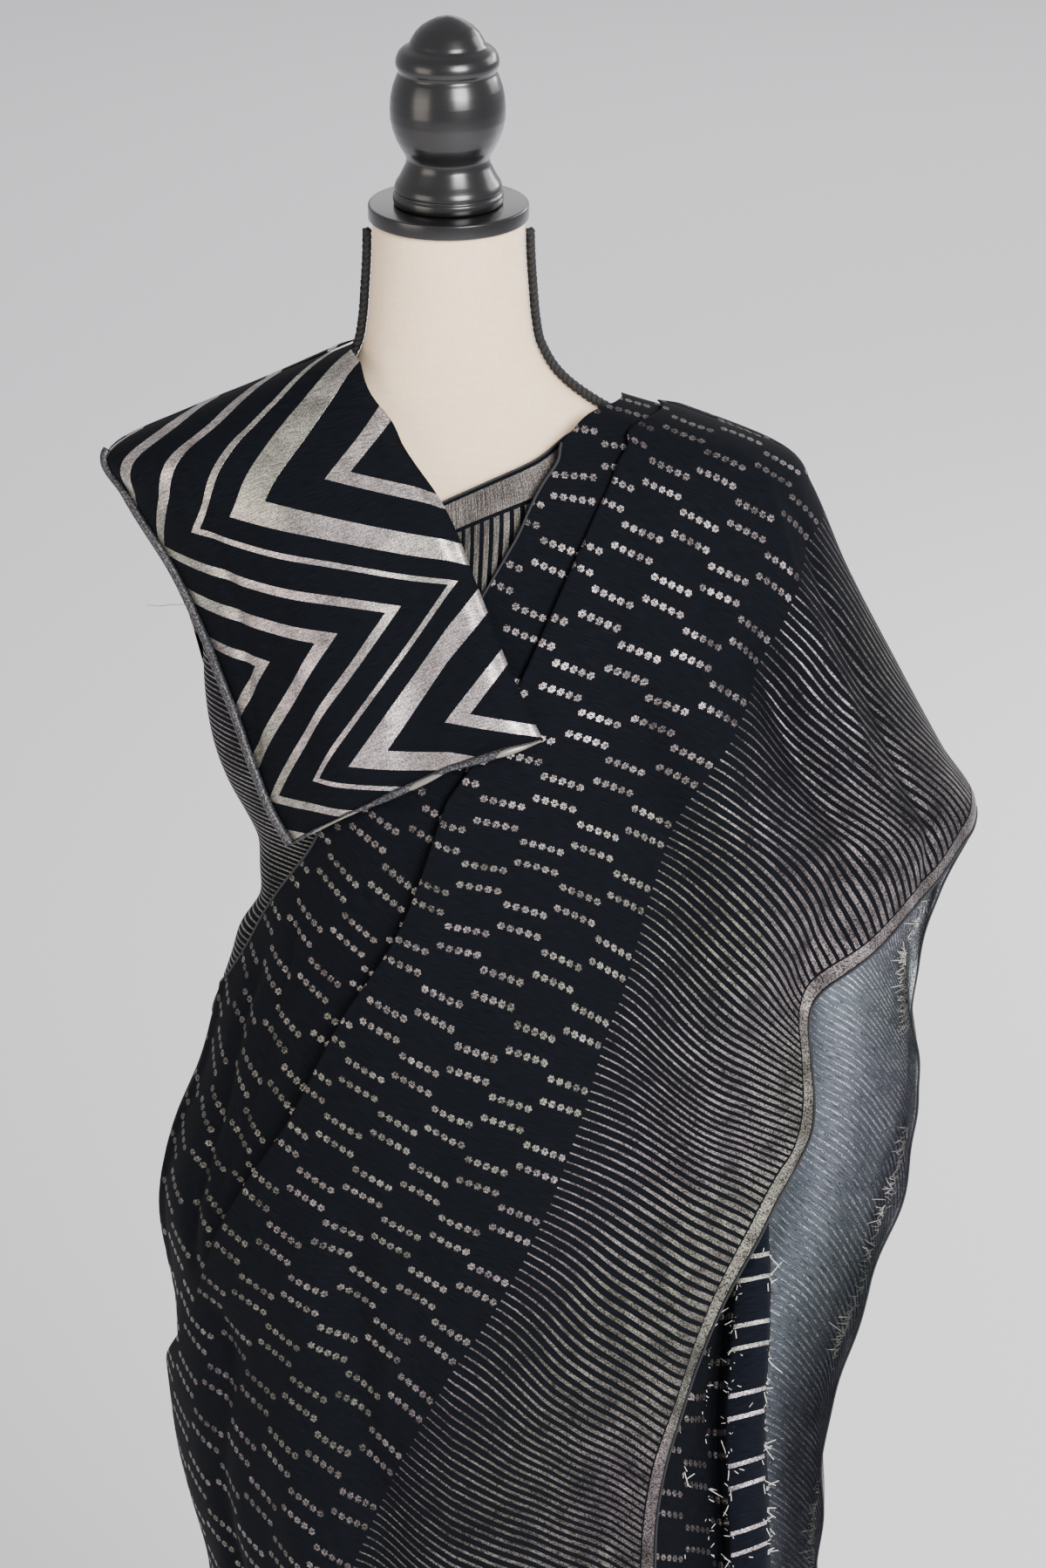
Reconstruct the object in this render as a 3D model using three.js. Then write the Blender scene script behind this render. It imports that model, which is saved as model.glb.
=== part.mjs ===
// A saree draped on a limbless dress form with a turned neck finial, on a plain pole and round base.
// Millimetres, +Z up, the form's front faces -Y, and the origin is on the floor under the pole.
// Angles go round the body from the front: 0 is the front, +90 the wearer's left (+X), 180 the back.
import * as THREE from "three";
import { mergeVertices } from "three/addons/utils/BufferGeometryUtils.js";

// Driving dimensions
const CLOTH = 1.6; // thickness of a cloth wall
const SEAM = 0.45; // gap in degrees where two stretches of cloth meet on the shoulder
const NECK_TILT = (6.6 * Math.PI) / 180; // the neck leans forward
const NECK_TOP = { y: -10, z: 1520 };
const DISC = { radius: 52, thickness: 10 };
const BASE = { radius: 185, thickness: 20 };
const POLE_RADIUS = 16;
const PIPING_RADIUS = 2.6;
const TOUCH = 0.3; // gap between pieces that rest on each other
const FOLD_FADE = 55; // length over which a soft fold starts and ends
const CROWDING = 1.5; // power that crowds a stretch's rows toward the shoulder
const { degToRad, radToDeg, lerp, clamp, smoothstep } = THREE.MathUtils;

// The linen body: half width, depth to the front and depth to the back at each height
const BODY = [
  { z: 745, half: 148, front: 88, back: 104, tilt: 0, y: 0 },
  { z: 800, half: 157, front: 94, back: 113, tilt: 0, y: 0 },
  { z: 860, half: 156, front: 92, back: 110, tilt: 0, y: 0 },
  { z: 930, half: 141, front: 87, back: 96, tilt: 0, y: 0 },
  { z: 1000, half: 116, front: 82, back: 80, tilt: 0, y: 0 },
  { z: 1050, half: 110, front: 84, back: 78, tilt: 0, y: 0 },
  { z: 1100, half: 116, front: 98, back: 82, tilt: 0, y: 0 },
  { z: 1130, half: 124, front: 112, back: 85, tilt: 0, y: 0 },
  { z: 1170, half: 138, front: 123, back: 90, tilt: 0, y: 0 },
  { z: 1230, half: 148, front: 108, back: 94, tilt: 0, y: 0 },
  { z: 1290, half: 164, front: 84, back: 94, tilt: 0, y: 0 },
  { z: 1325, half: 177, front: 68, back: 86, tilt: 0, y: 0 },
  { z: 1345, half: 174, front: 58, back: 77, tilt: 0, y: 0 },
  { z: 1362, half: 156, front: 50, back: 68, tilt: 0, y: 0 },
  { z: 1378, half: 128, front: 44, back: 61, tilt: 0, y: 0 },
  { z: 1392, half: 98, front: 42, back: 56, tilt: 0, y: 0 },
  { z: 1412, half: 71, front: 44, back: 53, tilt: 0.02, y: 0 },
  { z: 1434, half: 57, front: 46, back: 51, tilt: 0.05, y: -2 },
  { z: 1452, half: 53, front: 46.5, back: 50, tilt: 0.065, y: -4 },
  { z: 1474, half: 51, front: 47, back: 49, tilt: 0.08, y: -6 },
  { z: 1497, half: 49.5, front: 48, back: 48.5, tilt: 0.1, y: -8 },
  { z: NECK_TOP.z, half: 49, front: 48, back: 48, tilt: Math.tan(NECK_TILT), y: NECK_TOP.y },
];

// The outline that the outer layers of cloth hang on: reach to the left and right of the wearer's
// middle as seen from the front, and to the front and back, at each height
const DRAPE = [
  { z: 30, left: 225, right: 290, front: 196, back: 184 },
  { z: 150, left: 212, right: 280, front: 182, back: 172 },
  { z: 300, left: 196, right: 270, front: 168, back: 160 },
  { z: 450, left: 181, right: 262, front: 158, back: 150 },
  { z: 560, left: 177, right: 258, front: 153, back: 146 },
  { z: 640, left: 193, right: 260, front: 151, back: 143 },
  { z: 700, left: 199, right: 269, front: 150, back: 142 },
  { z: 765, left: 200, right: 289, front: 150, back: 140 },
  { z: 840, left: 207, right: 310, front: 150, back: 136 },
  { z: 890, left: 196, right: 319, front: 149, back: 128 },
  { z: 940, left: 176, right: 319, front: 148, back: 118 },
  { z: 1000, left: 161, right: 319, front: 147, back: 110 },
  { z: 1050, left: 146, right: 336, front: 146, back: 106 },
  { z: 1117, left: 141, right: 353, front: 145, back: 105 },
  { z: 1157, left: 156, right: 330, front: 142, back: 105 },
  { z: 1218, left: 165, right: 297, front: 132, back: 106 },
  { z: 1283, left: 184, right: 263, front: 107, back: 104 },
  { z: 1340, left: 212, right: 238, front: 84, back: 97 },
  { z: 1364, left: 222, right: 221, front: 72, back: 84 },
  { z: 1390, left: 170, right: 158, front: 62, back: 67 },
  { z: 1405, left: 133, right: 110, front: 56, back: 60 },
  { z: 1414, left: 111, right: 90, front: 54, back: 57 },
  { z: 1436, left: 57, right: 62, front: 54, back: 58 },
];

// A smooth curve through one column of a table whose rows are sorted by key
function along(table, key, column, at) {
  const last = table.length - 1;
  const x = clamp(at, table[0][key], table[last][key]);
  let i = 0;
  while (i < last - 1 && x >= table[i + 1][key]) i += 1;
  const slope = (k) => {
    const a = table[Math.max(k - 1, 0)];
    const b = table[Math.min(k + 1, last)];
    return (b[column] - a[column]) / (b[key] - a[key]);
  };
  const span = table[i + 1][key] - table[i][key];
  const t = (x - table[i][key]) / span;
  const t2 = t * t;
  const t3 = t2 * t;
  return (
    (2 * t3 - 3 * t2 + 1) * table[i][column] +
    (t3 - 2 * t2 + t) * span * slope(i) +
    (3 * t2 - 2 * t3) * table[i + 1][column] +
    (t3 - t2) * span * slope(i + 1)
  );
}

// A point of an ellipse-like ring at a height of a table, by its angle round the body
function ringPoint(reach, angle, z) {
  const a = degToRad(angle);
  const side = Math.sin(a) < 0 ? reach("left", z) : reach("right", z);
  const deep = Math.cos(a) > 0 ? reach("front", z) : reach("back", z);
  return new THREE.Vector3(side * Math.sin(a), -deep * Math.cos(a), z);
}

// The same point moved out along the surface's own normal
function liftedPoint(reach, angle, z, lift) {
  const stepAngle = 0.2;
  const stepZ = 0.5;
  const across = ringPoint(reach, angle + stepAngle, z).sub(ringPoint(reach, angle - stepAngle, z));
  const up = ringPoint(reach, angle, z + stepZ).sub(ringPoint(reach, angle, z - stepZ));
  const normal = across.cross(up).normalize();
  return ringPoint(reach, angle, z).addScaledVector(normal, lift);
}

const drapeReach = (column, z) => along(DRAPE, "z", column, z);
const SYMMETRIC = { left: "half", right: "half", front: "front", back: "back" };
const bodyReach = (column, z) => along(BODY, "z", SYMMETRIC[column], z);
const onDrape = (angle, z, lift = 0) => liftedPoint(drapeReach, angle, z, lift);
const onBody = (angle, z, lift = 0) => liftedPoint(bodyReach, angle, z, lift);

// Closed solid from triangles, turned so that its faces point out
function closedGeometry(points, faces) {
  let volume = 0;
  for (const [a, b, c] of faces) {
    volume += points[a].dot(points[b].clone().cross(points[c]));
  }
  const index = faces.flatMap(([a, b, c]) => (volume < 0 ? [a, c, b] : [a, b, c]));
  const geometry = new THREE.BufferGeometry().setFromPoints(points);
  geometry.setIndex(index);
  geometry.computeVertexNormals();
  return geometry;
}

// A cloth wall: the outer face is surface(u, v), and the inner face lies one thickness inside it.
// A tube closes on itself in u.
function clothWall(surface, columns, rows, { tube = false, thickness = CLOTH } = {}) {
  const across = tube ? columns : columns + 1;
  const outer = [];
  const inner = [];
  const step = 1e-3;
  for (let r = 0; r <= rows; r += 1) {
    for (let c = 0; c < across; c += 1) {
      const u = c / columns;
      const v = r / rows;
      const point = surface(u, v);
      const u0 = tube ? u - step : Math.max(u - step, 0);
      const u1 = tube ? u + step : Math.min(u + step, 1);
      const du = surface(u1, v).sub(surface(u0, v));
      const dv = surface(u, Math.min(v + step, 1)).sub(surface(u, Math.max(v - step, 0)));
      const normal = dv.cross(du).normalize();
      outer.push(point);
      inner.push(point.clone().addScaledVector(normal, -thickness));
    }
  }
  const points = [...outer, ...inner];
  const shift = outer.length;
  const at = (r, c) => r * across + (c % across);
  const faces = [];
  const quad = (a, b, c, d) => faces.push([a, b, c], [a, c, d]);
  for (let r = 0; r < rows; r += 1) {
    for (let c = 0; c < columns; c += 1) {
      quad(at(r, c), at(r + 1, c), at(r + 1, c + 1), at(r, c + 1));
      const back = [at(r, c), at(r, c + 1), at(r + 1, c + 1), at(r + 1, c)];
      quad(...back.map((i) => i + shift));
    }
  }
  for (let c = 0; c < columns; c += 1) {
    quad(at(0, c), at(0, c + 1), shift + at(0, c + 1), shift + at(0, c));
    quad(at(rows, c + 1), at(rows, c), shift + at(rows, c), shift + at(rows, c + 1));
  }
  if (!tube) {
    for (let r = 0; r < rows; r += 1) {
      quad(at(r + 1, 0), at(r, 0), shift + at(r, 0), shift + at(r + 1, 0));
      quad(at(r, columns), at(r + 1, columns), shift + at(r + 1, columns), shift + at(r, columns));
    }
  }
  return closedGeometry(points, faces);
}

// Angle and height on the drape, from a table of rows whose named columns each hold such a pair
function netPoint(table, names, u, v) {
  const q = lerp(table[0].along, table[table.length - 1].along, v);
  const line = names.map((name, i) => {
    const pick = (k) =>
      along(table.map((row) => ({ at: row.along, value: row[name][k] })), "at", "value", q);
    return { at: i / (names.length - 1), angle: pick(0), z: pick(1), lift: pick(2) };
  });
  return {
    angle: along(line, "at", "angle", u),
    z: along(line, "at", "z", u),
    lift: along(line, "at", "lift", u),
  };
}

// Soft folds: each runs from a top point to a bottom point and sinks in by its depth, or stands
// out where the depth is negative
function foldDepth(folds, angle, z, reach) {
  let sum = 0;
  for (const f of folds) {
    const t = clamp((f.topZ - z) / (f.topZ - f.endZ), 0, 1);
    const middle = lerp(f.topAngle, f.endAngle, t);
    const sideways = reach("right", z) * Math.abs(Math.sin(degToRad(angle)));
    const radius = (sideways + reach("front", z)) / 1.5;
    const away = (degToRad(angle - middle) * radius) / f.width;
    const top = smoothstep(f.topZ + FOLD_FADE - z, 0, FOLD_FADE);
    const end = smoothstep(z - f.endZ + FOLD_FADE, 0, FOLD_FADE);
    sum += f.depth * Math.exp(-away * away) * top * end;
  }
  return sum;
}

// The stretch over the wearer's left shoulder, the chest and the hip: a spotted field, and outside
// it the striped border with its selvedge. Each pair or triple is angle, height and lift.
const PALLU_COLUMNS = ["crease", "spots", "join", "border", "selvedge"];
const PALLU = [
  { along: 0, crease: [90, 1397, 1], spots: [90, 1376, 1], join: [90, 1325, 1],
    border: [90, 1208, 1], selvedge: [90, 1117, 1] },
  { along: 18, crease: [52, 1391, 1], spots: [58, 1364, 1], join: [72, 1314, 1],
    border: [78, 1211, 1], selvedge: [84, 1114, 1] },
  { along: 40, crease: [38.6, 1380, 1], spots: [47, 1342, 1], join: [63, 1295, 1],
    border: [67, 1207, 1], selvedge: [79, 1108, 1] },
  { along: 70, crease: [27.6, 1360, 1], spots: [39, 1310, 1], join: [54, 1268, 1],
    border: [58.6, 1200, 1], selvedge: [75, 1098, 0] },
  { along: 104, crease: [17.8, 1305, 1], spots: [31.7, 1274, 1], join: [45.5, 1238, 1],
    border: [51.3, 1190, 1], selvedge: [70, 1081, 0] },
  { along: 227, crease: [2.7, 1189, 2], spots: [14.2, 1170, 1], join: [25, 1139, 1],
    border: [35.2, 1091, 1], selvedge: [50, 1012, 0] },
  { along: 349, crease: [-12, 1085, 3], spots: [5.7, 1063, 1], join: [19.7, 1022, 1],
    border: [32.6, 964, 1], selvedge: [49.1, 921, 0] },
  { along: 429, crease: [-26, 1016, 4], spots: [-5, 986, 1], join: [15.5, 944, 1],
    border: [28.7, 902, 1], selvedge: [41.8, 862, 0] },
  { along: 573, crease: [-42.5, 895, 4], spots: [-16.3, 856, 1], join: [4.8, 810, 1],
    border: [16.5, 751, 1], selvedge: [33.2, 700, 0] },
  { along: 703, crease: [-61, 780, 4], spots: [-33, 738, 1], join: [-11.9, 686, 1],
    border: [9.8, 636, 1], selvedge: [31, 583, 0] },
  { along: 860, crease: [-98, 679, 3], spots: [-66, 615, 1], join: [-32, 545, 1],
    border: [-8, 494, 1], selvedge: [15.2, 434, 0] },
  { along: 1020, crease: [-131, 561, 3], spots: [-94, 486, 1], join: [-56, 405, 1],
    border: [-30, 362, 1], selvedge: [-3.5, 322, 0] },
  { along: 1190, crease: [-165, 429, 3], spots: [-128, 362, 1], join: [-90, 290, 1],
    border: [-63, 253, 1], selvedge: [-36, 215, 0] },
  { along: 1350, crease: [-199, 309, 3], spots: [-163, 255, 1], join: [-128, 195, 1],
    border: [-101, 158, 1], selvedge: [-74, 118, 0] },
];
const PALLU_FOLDS = [
  { topAngle: 24, topZ: 1215, endAngle: 23, endZ: 990, depth: 9, width: 20 },
  { topAngle: 35, topZ: 1190, endAngle: 32, endZ: 900, depth: -6, width: 22 },
  { topAngle: 23, topZ: 950, endAngle: 24, endZ: 640, depth: 8, width: 20 },
  { topAngle: 48, topZ: 1230, endAngle: 47, endZ: 1030, depth: 14, width: 24 },
  { topAngle: 12, topZ: 900, endAngle: 4, endZ: 560, depth: -6, width: 22 },
  { topAngle: -18, topZ: 850, endAngle: -17, endZ: 600, depth: 9, width: 20 },
  { topAngle: -28, topZ: 830, endAngle: -36, endZ: 560, depth: -5, width: 24 },
  { topAngle: -52, topZ: 760, endAngle: -60, endZ: 480, depth: 8, width: 22 },
  { topAngle: -20, topZ: 560, endAngle: -48, endZ: 330, depth: 9, width: 24 },
  { topAngle: -88, topZ: 560, endAngle: -100, endZ: 260, depth: 8, width: 24 },
  { topAngle: -125, topZ: 500, endAngle: -140, endZ: 200, depth: 8, width: 24 },
];

// The inner pleat of the same stretch, seen between its own edge and the crease that lies over it
const PLEAT_COLUMNS = ["edge", "middle", "under"];
const INNER_PLEAT = [
  { along: 0, edge: [90, 1404, -1.2], middle: [90, 1398, -1.2], under: [90, 1391, -1.2] },
  { along: 13, edge: [50, 1401, -3], middle: [54, 1393, -3], under: [60, 1384, -3] },
  { along: 31, edge: [28, 1388, -3.5], middle: [38, 1384, -4.8], under: [49, 1375, -5] },
  { along: 47, edge: [20.5, 1373, -3], middle: [31, 1370, -4.5], under: [42, 1362, -5] },
  { along: 67, edge: [15, 1357, -2], middle: [25, 1352, -3], under: [35, 1345, -3] },
  { along: 104, edge: [10, 1325, -5], middle: [17, 1312, -5], under: [24, 1299, -5] },
  { along: 227, edge: [-10.5, 1206, -5], middle: [-2, 1194, -5], under: [7, 1182, -6] },
  { along: 349, edge: [-37, 1134, -4], middle: [-23, 1106, -5], under: [-7, 1078, -6] },
  { along: 429, edge: [-62, 1066, -3], middle: [-42, 1036, -4], under: [-20, 1009, -6] },
  { along: 515, edge: [-78, 1004, -3], middle: [-57, 964, -3], under: [-36, 922, -6] },
  { along: 600, edge: [-97, 955, -3], middle: [-72, 905, -3], under: [-43, 862, -6] },
  { along: 720, edge: [-122, 890, -4], middle: [-92, 828, -4], under: [-62, 758, -6] },
  { along: 870, edge: [-172, 760, -4], middle: [-142, 670, -4], under: [-112, 588, -6] },
  { along: 1020, edge: [-190, 640, -4], middle: [-166, 560, -4], under: [-141, 480, -6] },
  { along: 1190, edge: [-199, 520, -4], middle: [-182, 450, -4], under: [-166, 385, -6] },
];
const PLEAT_FOLDS = [
  { topAngle: -60, topZ: 1000, endAngle: -62, endZ: 850, depth: 7, width: 14 },
  { topAngle: -96, topZ: 980, endAngle: -100, endZ: 720, depth: 6, width: 16 },
  { topAngle: -135, topZ: 960, endAngle: -140, endZ: 650, depth: 7, width: 18 },
];

// The loose end that falls behind the shoulder and hangs down the back
const BACK_COLUMNS = ["inner", "spots", "join", "selvedge"];
const PALLU_BACK = [
  { along: 0, inner: [90 + SEAM, 1397, 1], spots: [90 + SEAM, 1376, 1],
    join: [90 + SEAM, 1325, 1], selvedge: [90 + SEAM, 1117, 1] },
  { along: 18, inner: [128, 1378, 2], spots: [120, 1354, 2],
    join: [106, 1310, 2], selvedge: [93, 1106, 2] },
  { along: 45, inner: [142, 1354, 3], spots: [128, 1330, 3],
    join: [112, 1288, 3], selvedge: [96, 1090, 2] },
  { along: 110, inner: [158, 1300, 6], spots: [138, 1274, 6],
    join: [120, 1232, 5], selvedge: [99, 1045, 2] },
  { along: 250, inner: [172, 1180, 8], spots: [149, 1150, 8],
    join: [126, 1102, 6], selvedge: [95, 945, 2] },
  { along: 400, inner: [178, 1030, 8], spots: [154, 995, 8],
    join: [128, 948, 6], selvedge: [90, 860, 2] },
  { along: 560, inner: [184, 860, 8], spots: [158, 825, 8],
    join: [129, 780, 6], selvedge: [83, 713, 2] },
  { along: 720, inner: [186, 690, 8], spots: [160, 655, 8],
    join: [130, 612, 6], selvedge: [84, 572, 2] },
  { along: 880, inner: [188, 520, 8], spots: [162, 487, 8],
    join: [131, 448, 6], selvedge: [84, 425, 2] },
  { along: 1000, inner: [190, 395, 8], spots: [163, 362, 8],
    join: [132, 326, 6], selvedge: [85, 308, 2] },
];
const BACK_FOLDS = [
  { topAngle: 168, topZ: 1180, endAngle: 174, endZ: 350, depth: 7, width: 22 },
  { topAngle: 148, topZ: 1230, endAngle: 150, endZ: 320, depth: -8, width: 24 },
  { topAngle: 126, topZ: 1180, endAngle: 124, endZ: 320, depth: 9, width: 26 },
];

// The zigzag end over the wearer's right shoulder: its outer edge and its folded edge by the neck
const SHOULDER_COLUMNS = ["outer", "quarter", "middle", "inner"];
const SHOULDER_FRONT = [
  { along: 0, outer: [-90, 1365, 2], quarter: [-90, 1390, 2],
    middle: [-90, 1412, 2], inner: [-85, 1434, 2.8] },
  { along: 14, outer: [-87, 1353, 2], quarter: [-66, 1379, 3],
    middle: [-55, 1403, 3], inner: [-46, 1428, 4] },
  { along: 34, outer: [-83, 1336, 3], quarter: [-55, 1366, 4],
    middle: [-37, 1388, 4], inner: [-19, 1405, 4] },
  { along: 62, outer: [-78, 1311, 3], quarter: [-48, 1339, 4],
    middle: [-27, 1363, 4], inner: [-9, 1383, 5] },
  { along: 110, outer: [-71, 1268, 3], quarter: [-40, 1296, 4],
    middle: [-20, 1322, 5], inner: [-0.6, 1346, 5] },
  { along: 170, outer: [-61, 1220, 4], quarter: [-34, 1246, 5],
    middle: [-14, 1272, 6], inner: [4.3, 1298, 7] },
  { along: 230, outer: [-51, 1171, 5], quarter: [-30, 1198, 6],
    middle: [-10, 1224, 7], inner: [8, 1250, 9] },
  { along: 285, outer: [-42, 1130, 8], quarter: [-25, 1154, 8],
    middle: [-7, 1178, 9], inner: [11.5, 1206, 11] },
];
const SHOULDER_BACK = [
  { along: 0, outer: [-90 - 2 * SEAM, 1365, 2], quarter: [-90 - 2 * SEAM, 1390, 2],
    middle: [-90 - 2 * SEAM, 1412, 2], inner: [-96, 1434, 3] },
  { along: 16, outer: [-93, 1352, 3], quarter: [-112, 1370, 2],
    middle: [-122, 1394, 2], inner: [-132, 1416, 3] },
  { along: 50, outer: [-97, 1318, 4], quarter: [-128, 1340, 4],
    middle: [-146, 1364, 4], inner: [-160, 1386, 4] },
  { along: 110, outer: [-97, 1262, 4], quarter: [-134, 1290, 4],
    middle: [-154, 1310, 4], inner: [-172, 1335, 4] },
  { along: 170, outer: [-98, 1214, 5], quarter: [-132, 1216, 5],
    middle: [-150, 1222, 5], inner: [-168, 1236, 5] },
];
const SHOULDER_FOLDS = [
  { topAngle: -30, topZ: 1330, endAngle: -24, endZ: 1180, depth: -5, width: 22 },
  { topAngle: -8, topZ: 1290, endAngle: -6, endZ: 1190, depth: 5, width: 14 },
];

// The loose fold that shows inside, between the front border and the back stretch
const FOLD_COLUMNS = ["front", "valley", "ridge", "edge", "back"];
const LOOSE_FOLD = [
  { along: 0, front: [37, 905, -3.9], valley: [37.5, 893, -24], ridge: [37, 898, -12],
    edge: [40, 900, -4.5], back: [43, 890, -30] },
  { along: 120, front: [31, 775, -3.9], valley: [43, 750, -30], ridge: [42.5, 762, -10],
    edge: [47.5, 768, 0], back: [56, 740, -38] },
  { along: 260, front: [28, 632, -3.9], valley: [51.3, 592, -30], ridge: [50.3, 600, -10],
    edge: [57.3, 606, 0], back: [73, 578, -38] },
  { along: 420, front: [18, 472, -3.9], valley: [46, 440, -26], ridge: [46, 446, -10],
    edge: [54, 450, 0], back: [68, 430, -34] },
  { along: 560, front: [5, 340, -3.9], valley: [40, 312, -20], ridge: [41, 316, -10],
    edge: [50, 320, -2], back: [62, 305, -24] },
];

// A stretch of cloth on the drape, from its net and its folds. Its rows crowd toward its start,
// where the shoulder curves most.
function drapedStretch(net, names, folds, columns, rows) {
  const surface = (u, v) => {
    const { angle, z, lift } = netPoint(net, names, u, Math.max(v, 0) ** CROWDING);
    return onDrape(angle, z, lift - foldDepth(folds, angle, z, drapeReach));
  };
  return clothWall(surface, columns, rows);
}

// The underskirt layer of the same cloth: a tube from the waist to just above the floor
const SKIRT = [
  { z: 30, half: 192, front: 164, back: 164 },
  { z: 200, half: 175, front: 145, back: 149 },
  { z: 400, half: 158, front: 124, back: 134 },
  { z: 600, half: 152, front: 110, back: 128 },
  { z: 700, half: 159, front: 106, back: 127 },
  { z: 800, half: 167, front: 103, back: 125 },
  { z: 860, half: 165, front: 101, back: 120 },
  { z: 930, half: 149, front: 96, back: 106 },
  { z: 1012, half: 121.2, front: 89.2, back: 87.2 },
];
const GATHERS = 13; // soft waves round the hem
const GATHER = 5; // their depth at the hem
const gathering = (z) => smoothstep(860 - z, 0, 700);
const skirtReach = (column, z) => along(SKIRT, "z", SYMMETRIC[column], z);
function skirtPoint(angle, z, lift = 0) {
  const wave = GATHER * gathering(z) * Math.cos(degToRad(angle) * GATHERS);
  return liftedPoint(skirtReach, angle, z, lift + wave);
}

// The tucked front pleats: each one rolls over the next
const PLEATS = { count: 6, pitch: 24, depth: 8.05, roll: 3.4, clear: 2.2, middleAngle: -4 };
const PLEATS_AT = { top: 985, hem: 30 };
const PLEAT_SPREAD = { top: 0.62, hem: 1.25 };
function pleatPoint(u, v) {
  const z = lerp(PLEATS_AT.top, PLEATS_AT.hem, v);
  const spread = lerp(PLEAT_SPREAD.top, PLEAT_SPREAD.hem, v);
  const turn = 2 * Math.PI * PLEATS.count * u;
  const x = ((u - 0.5) * PLEATS.count * PLEATS.pitch + PLEATS.roll * Math.sin(turn)) * spread;
  const angle = PLEATS.middleAngle + radToDeg(Math.asin(x / skirtReach("right", z)));
  const clear = PLEATS.depth + PLEATS.clear + 2 * GATHER * gathering(z);
  return liftedPoint(skirtReach, angle, z, clear + PLEATS.depth * Math.cos(turn));
}

// The first wrap round the chest, under the other layers
const CHEST_BOTTOM = 1005;
const CHEST_FRONT_TOP = [
  { angle: -32, z: 1290 },
  { angle: -18, z: 1313 },
  { angle: -2.8, z: 1340 },
  { angle: 20, z: 1365 },
  { angle: 44, z: 1381 },
  { angle: 64, z: 1350 },
];
const CHEST_SIDE_TOP = [
  { angle: -296, z: 1290 },
  { angle: -270, z: 1240 },
  { angle: -180, z: 1226 },
  { angle: -100, z: 1236 },
  { angle: -60, z: 1250 },
  { angle: -33, z: 1290 },
];
// How far the wrap stands off the body, and how much more below the wearer's right arm
const WRAP_LIFT = 6.4;
const WAIST_LIFT = 5;
const NECKLINE_LIFT = 1.5;
const UNDERARM_DIP = 20; // how much lower the wrap ends there
const UNDERARM = [
  { z: 983, lift: 27 },
  { z: 1005, lift: 26 },
  { z: 1031, lift: 23 },
  { z: 1055, lift: 13 },
  { z: 1080, lift: 12 },
  { z: 1103, lift: 9 },
  { z: 1150, lift: 15 },
  { z: 1211, lift: 14 },
  { z: 1260, lift: 5 },
];
function chestWrap(topEdge, from, to, columns, rows) {
  const surface = (u, v) => {
    const angle = lerp(from, to, u);
    const arm = Math.exp(-(((angle + 88) / 28) ** 2));
    const bottom = CHEST_BOTTOM - UNDERARM_DIP * arm;
    const z = lerp(along(topEdge, "angle", "z", angle), bottom, v ** 1.3);
    const waist = WAIST_LIFT * smoothstep(1090 - z, 0, 70);
    const side = along(UNDERARM, "z", "lift", z) * arm;
    const neckline = NECKLINE_LIFT * smoothstep(z, 1320, 1350);
    return onBody(angle, z, WRAP_LIFT + waist + side + neckline);
  };
  return clothWall(surface, columns, rows);
}

// The linen body, closed flat at its underside and at the tilted top of the neck
function formBody() {
  const around = 24;
  const tallest = 55;
  const widest = 12;
  const rings = [];
  for (let i = 0; i < BODY.length; i += 1) {
    rings.push(BODY[i].z);
    const next = BODY[i + 1] ?? BODY[i];
    const coarse = next.z - BODY[i].z > tallest || BODY[i].half - next.half > widest;
    if (coarse) rings.push((BODY[i].z + next.z) / 2);
  }
  const points = [];
  for (const z of rings) {
    for (let c = 0; c < around; c += 1) {
      const point = onBody((360 * c) / around, z);
      point.z = z + point.y * along(BODY, "z", "tilt", z);
      point.y += along(BODY, "z", "y", z);
      points.push(point);
    }
  }
  const faces = [];
  const ring = (r, c) => r * around + (c % around);
  for (let r = 0; r < rings.length - 1; r += 1) {
    for (let c = 0; c < around; c += 1) {
      faces.push([ring(r, c), ring(r, c + 1), ring(r + 1, c + 1)]);
      faces.push([ring(r, c), ring(r + 1, c + 1), ring(r + 1, c)]);
    }
  }
  const top = rings.length - 1;
  for (let c = 1; c < around - 1; c += 1) {
    faces.push([ring(0, 0), ring(0, c + 1), ring(0, c)]);
    faces.push([ring(top, 0), ring(top, c), ring(top, c + 1)]);
  }
  return closedGeometry(points, faces);
}

// Turned finial: rows of radius and height above the disc
const FINIAL = [
  [0, 0], [34.6, 0], [35.6, 1.5], [35.6, 6.5], [34.2, 8], [34.8, 10.5], [33.8, 13.5],
  [31.4, 17.5], [29.6, 21.5], [27.2, 26], [26.8, 30], [30.3, 37], [35.2, 49], [37.2, 63],
  [35.8, 75], [31.4, 86], [32.8, 89.5], [33, 94.5], [30.4, 100.5], [25, 103], [23.6, 106],
  [20.3, 111], [12, 118], [5, 121], [0, 122],
];

// The braided cord sewn on the neck and shoulder seam, as a plain bead beside the linen
const PIPING_HEIGHTS = [1512, 1497, 1474, 1452, 1434, 1423, 1412, 1402, 1392, 1385];
function piping(side) {
  const seam = PIPING_HEIGHTS.map((z) => {
    const point = onBody(side * 90, z, PIPING_RADIUS + 2 * TOUCH);
    return point.setY(along(BODY, "z", "y", z));
  });
  const curve = new THREE.CatmullRomCurve3(seam);
  const section = new THREE.Shape().absarc(0, 0, PIPING_RADIUS, 0, 2 * Math.PI);
  const sweep = { extrudePath: curve, steps: 16, curveSegments: 7, bevelEnabled: false };
  return new THREE.ExtrudeGeometry(section, sweep);
}

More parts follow.
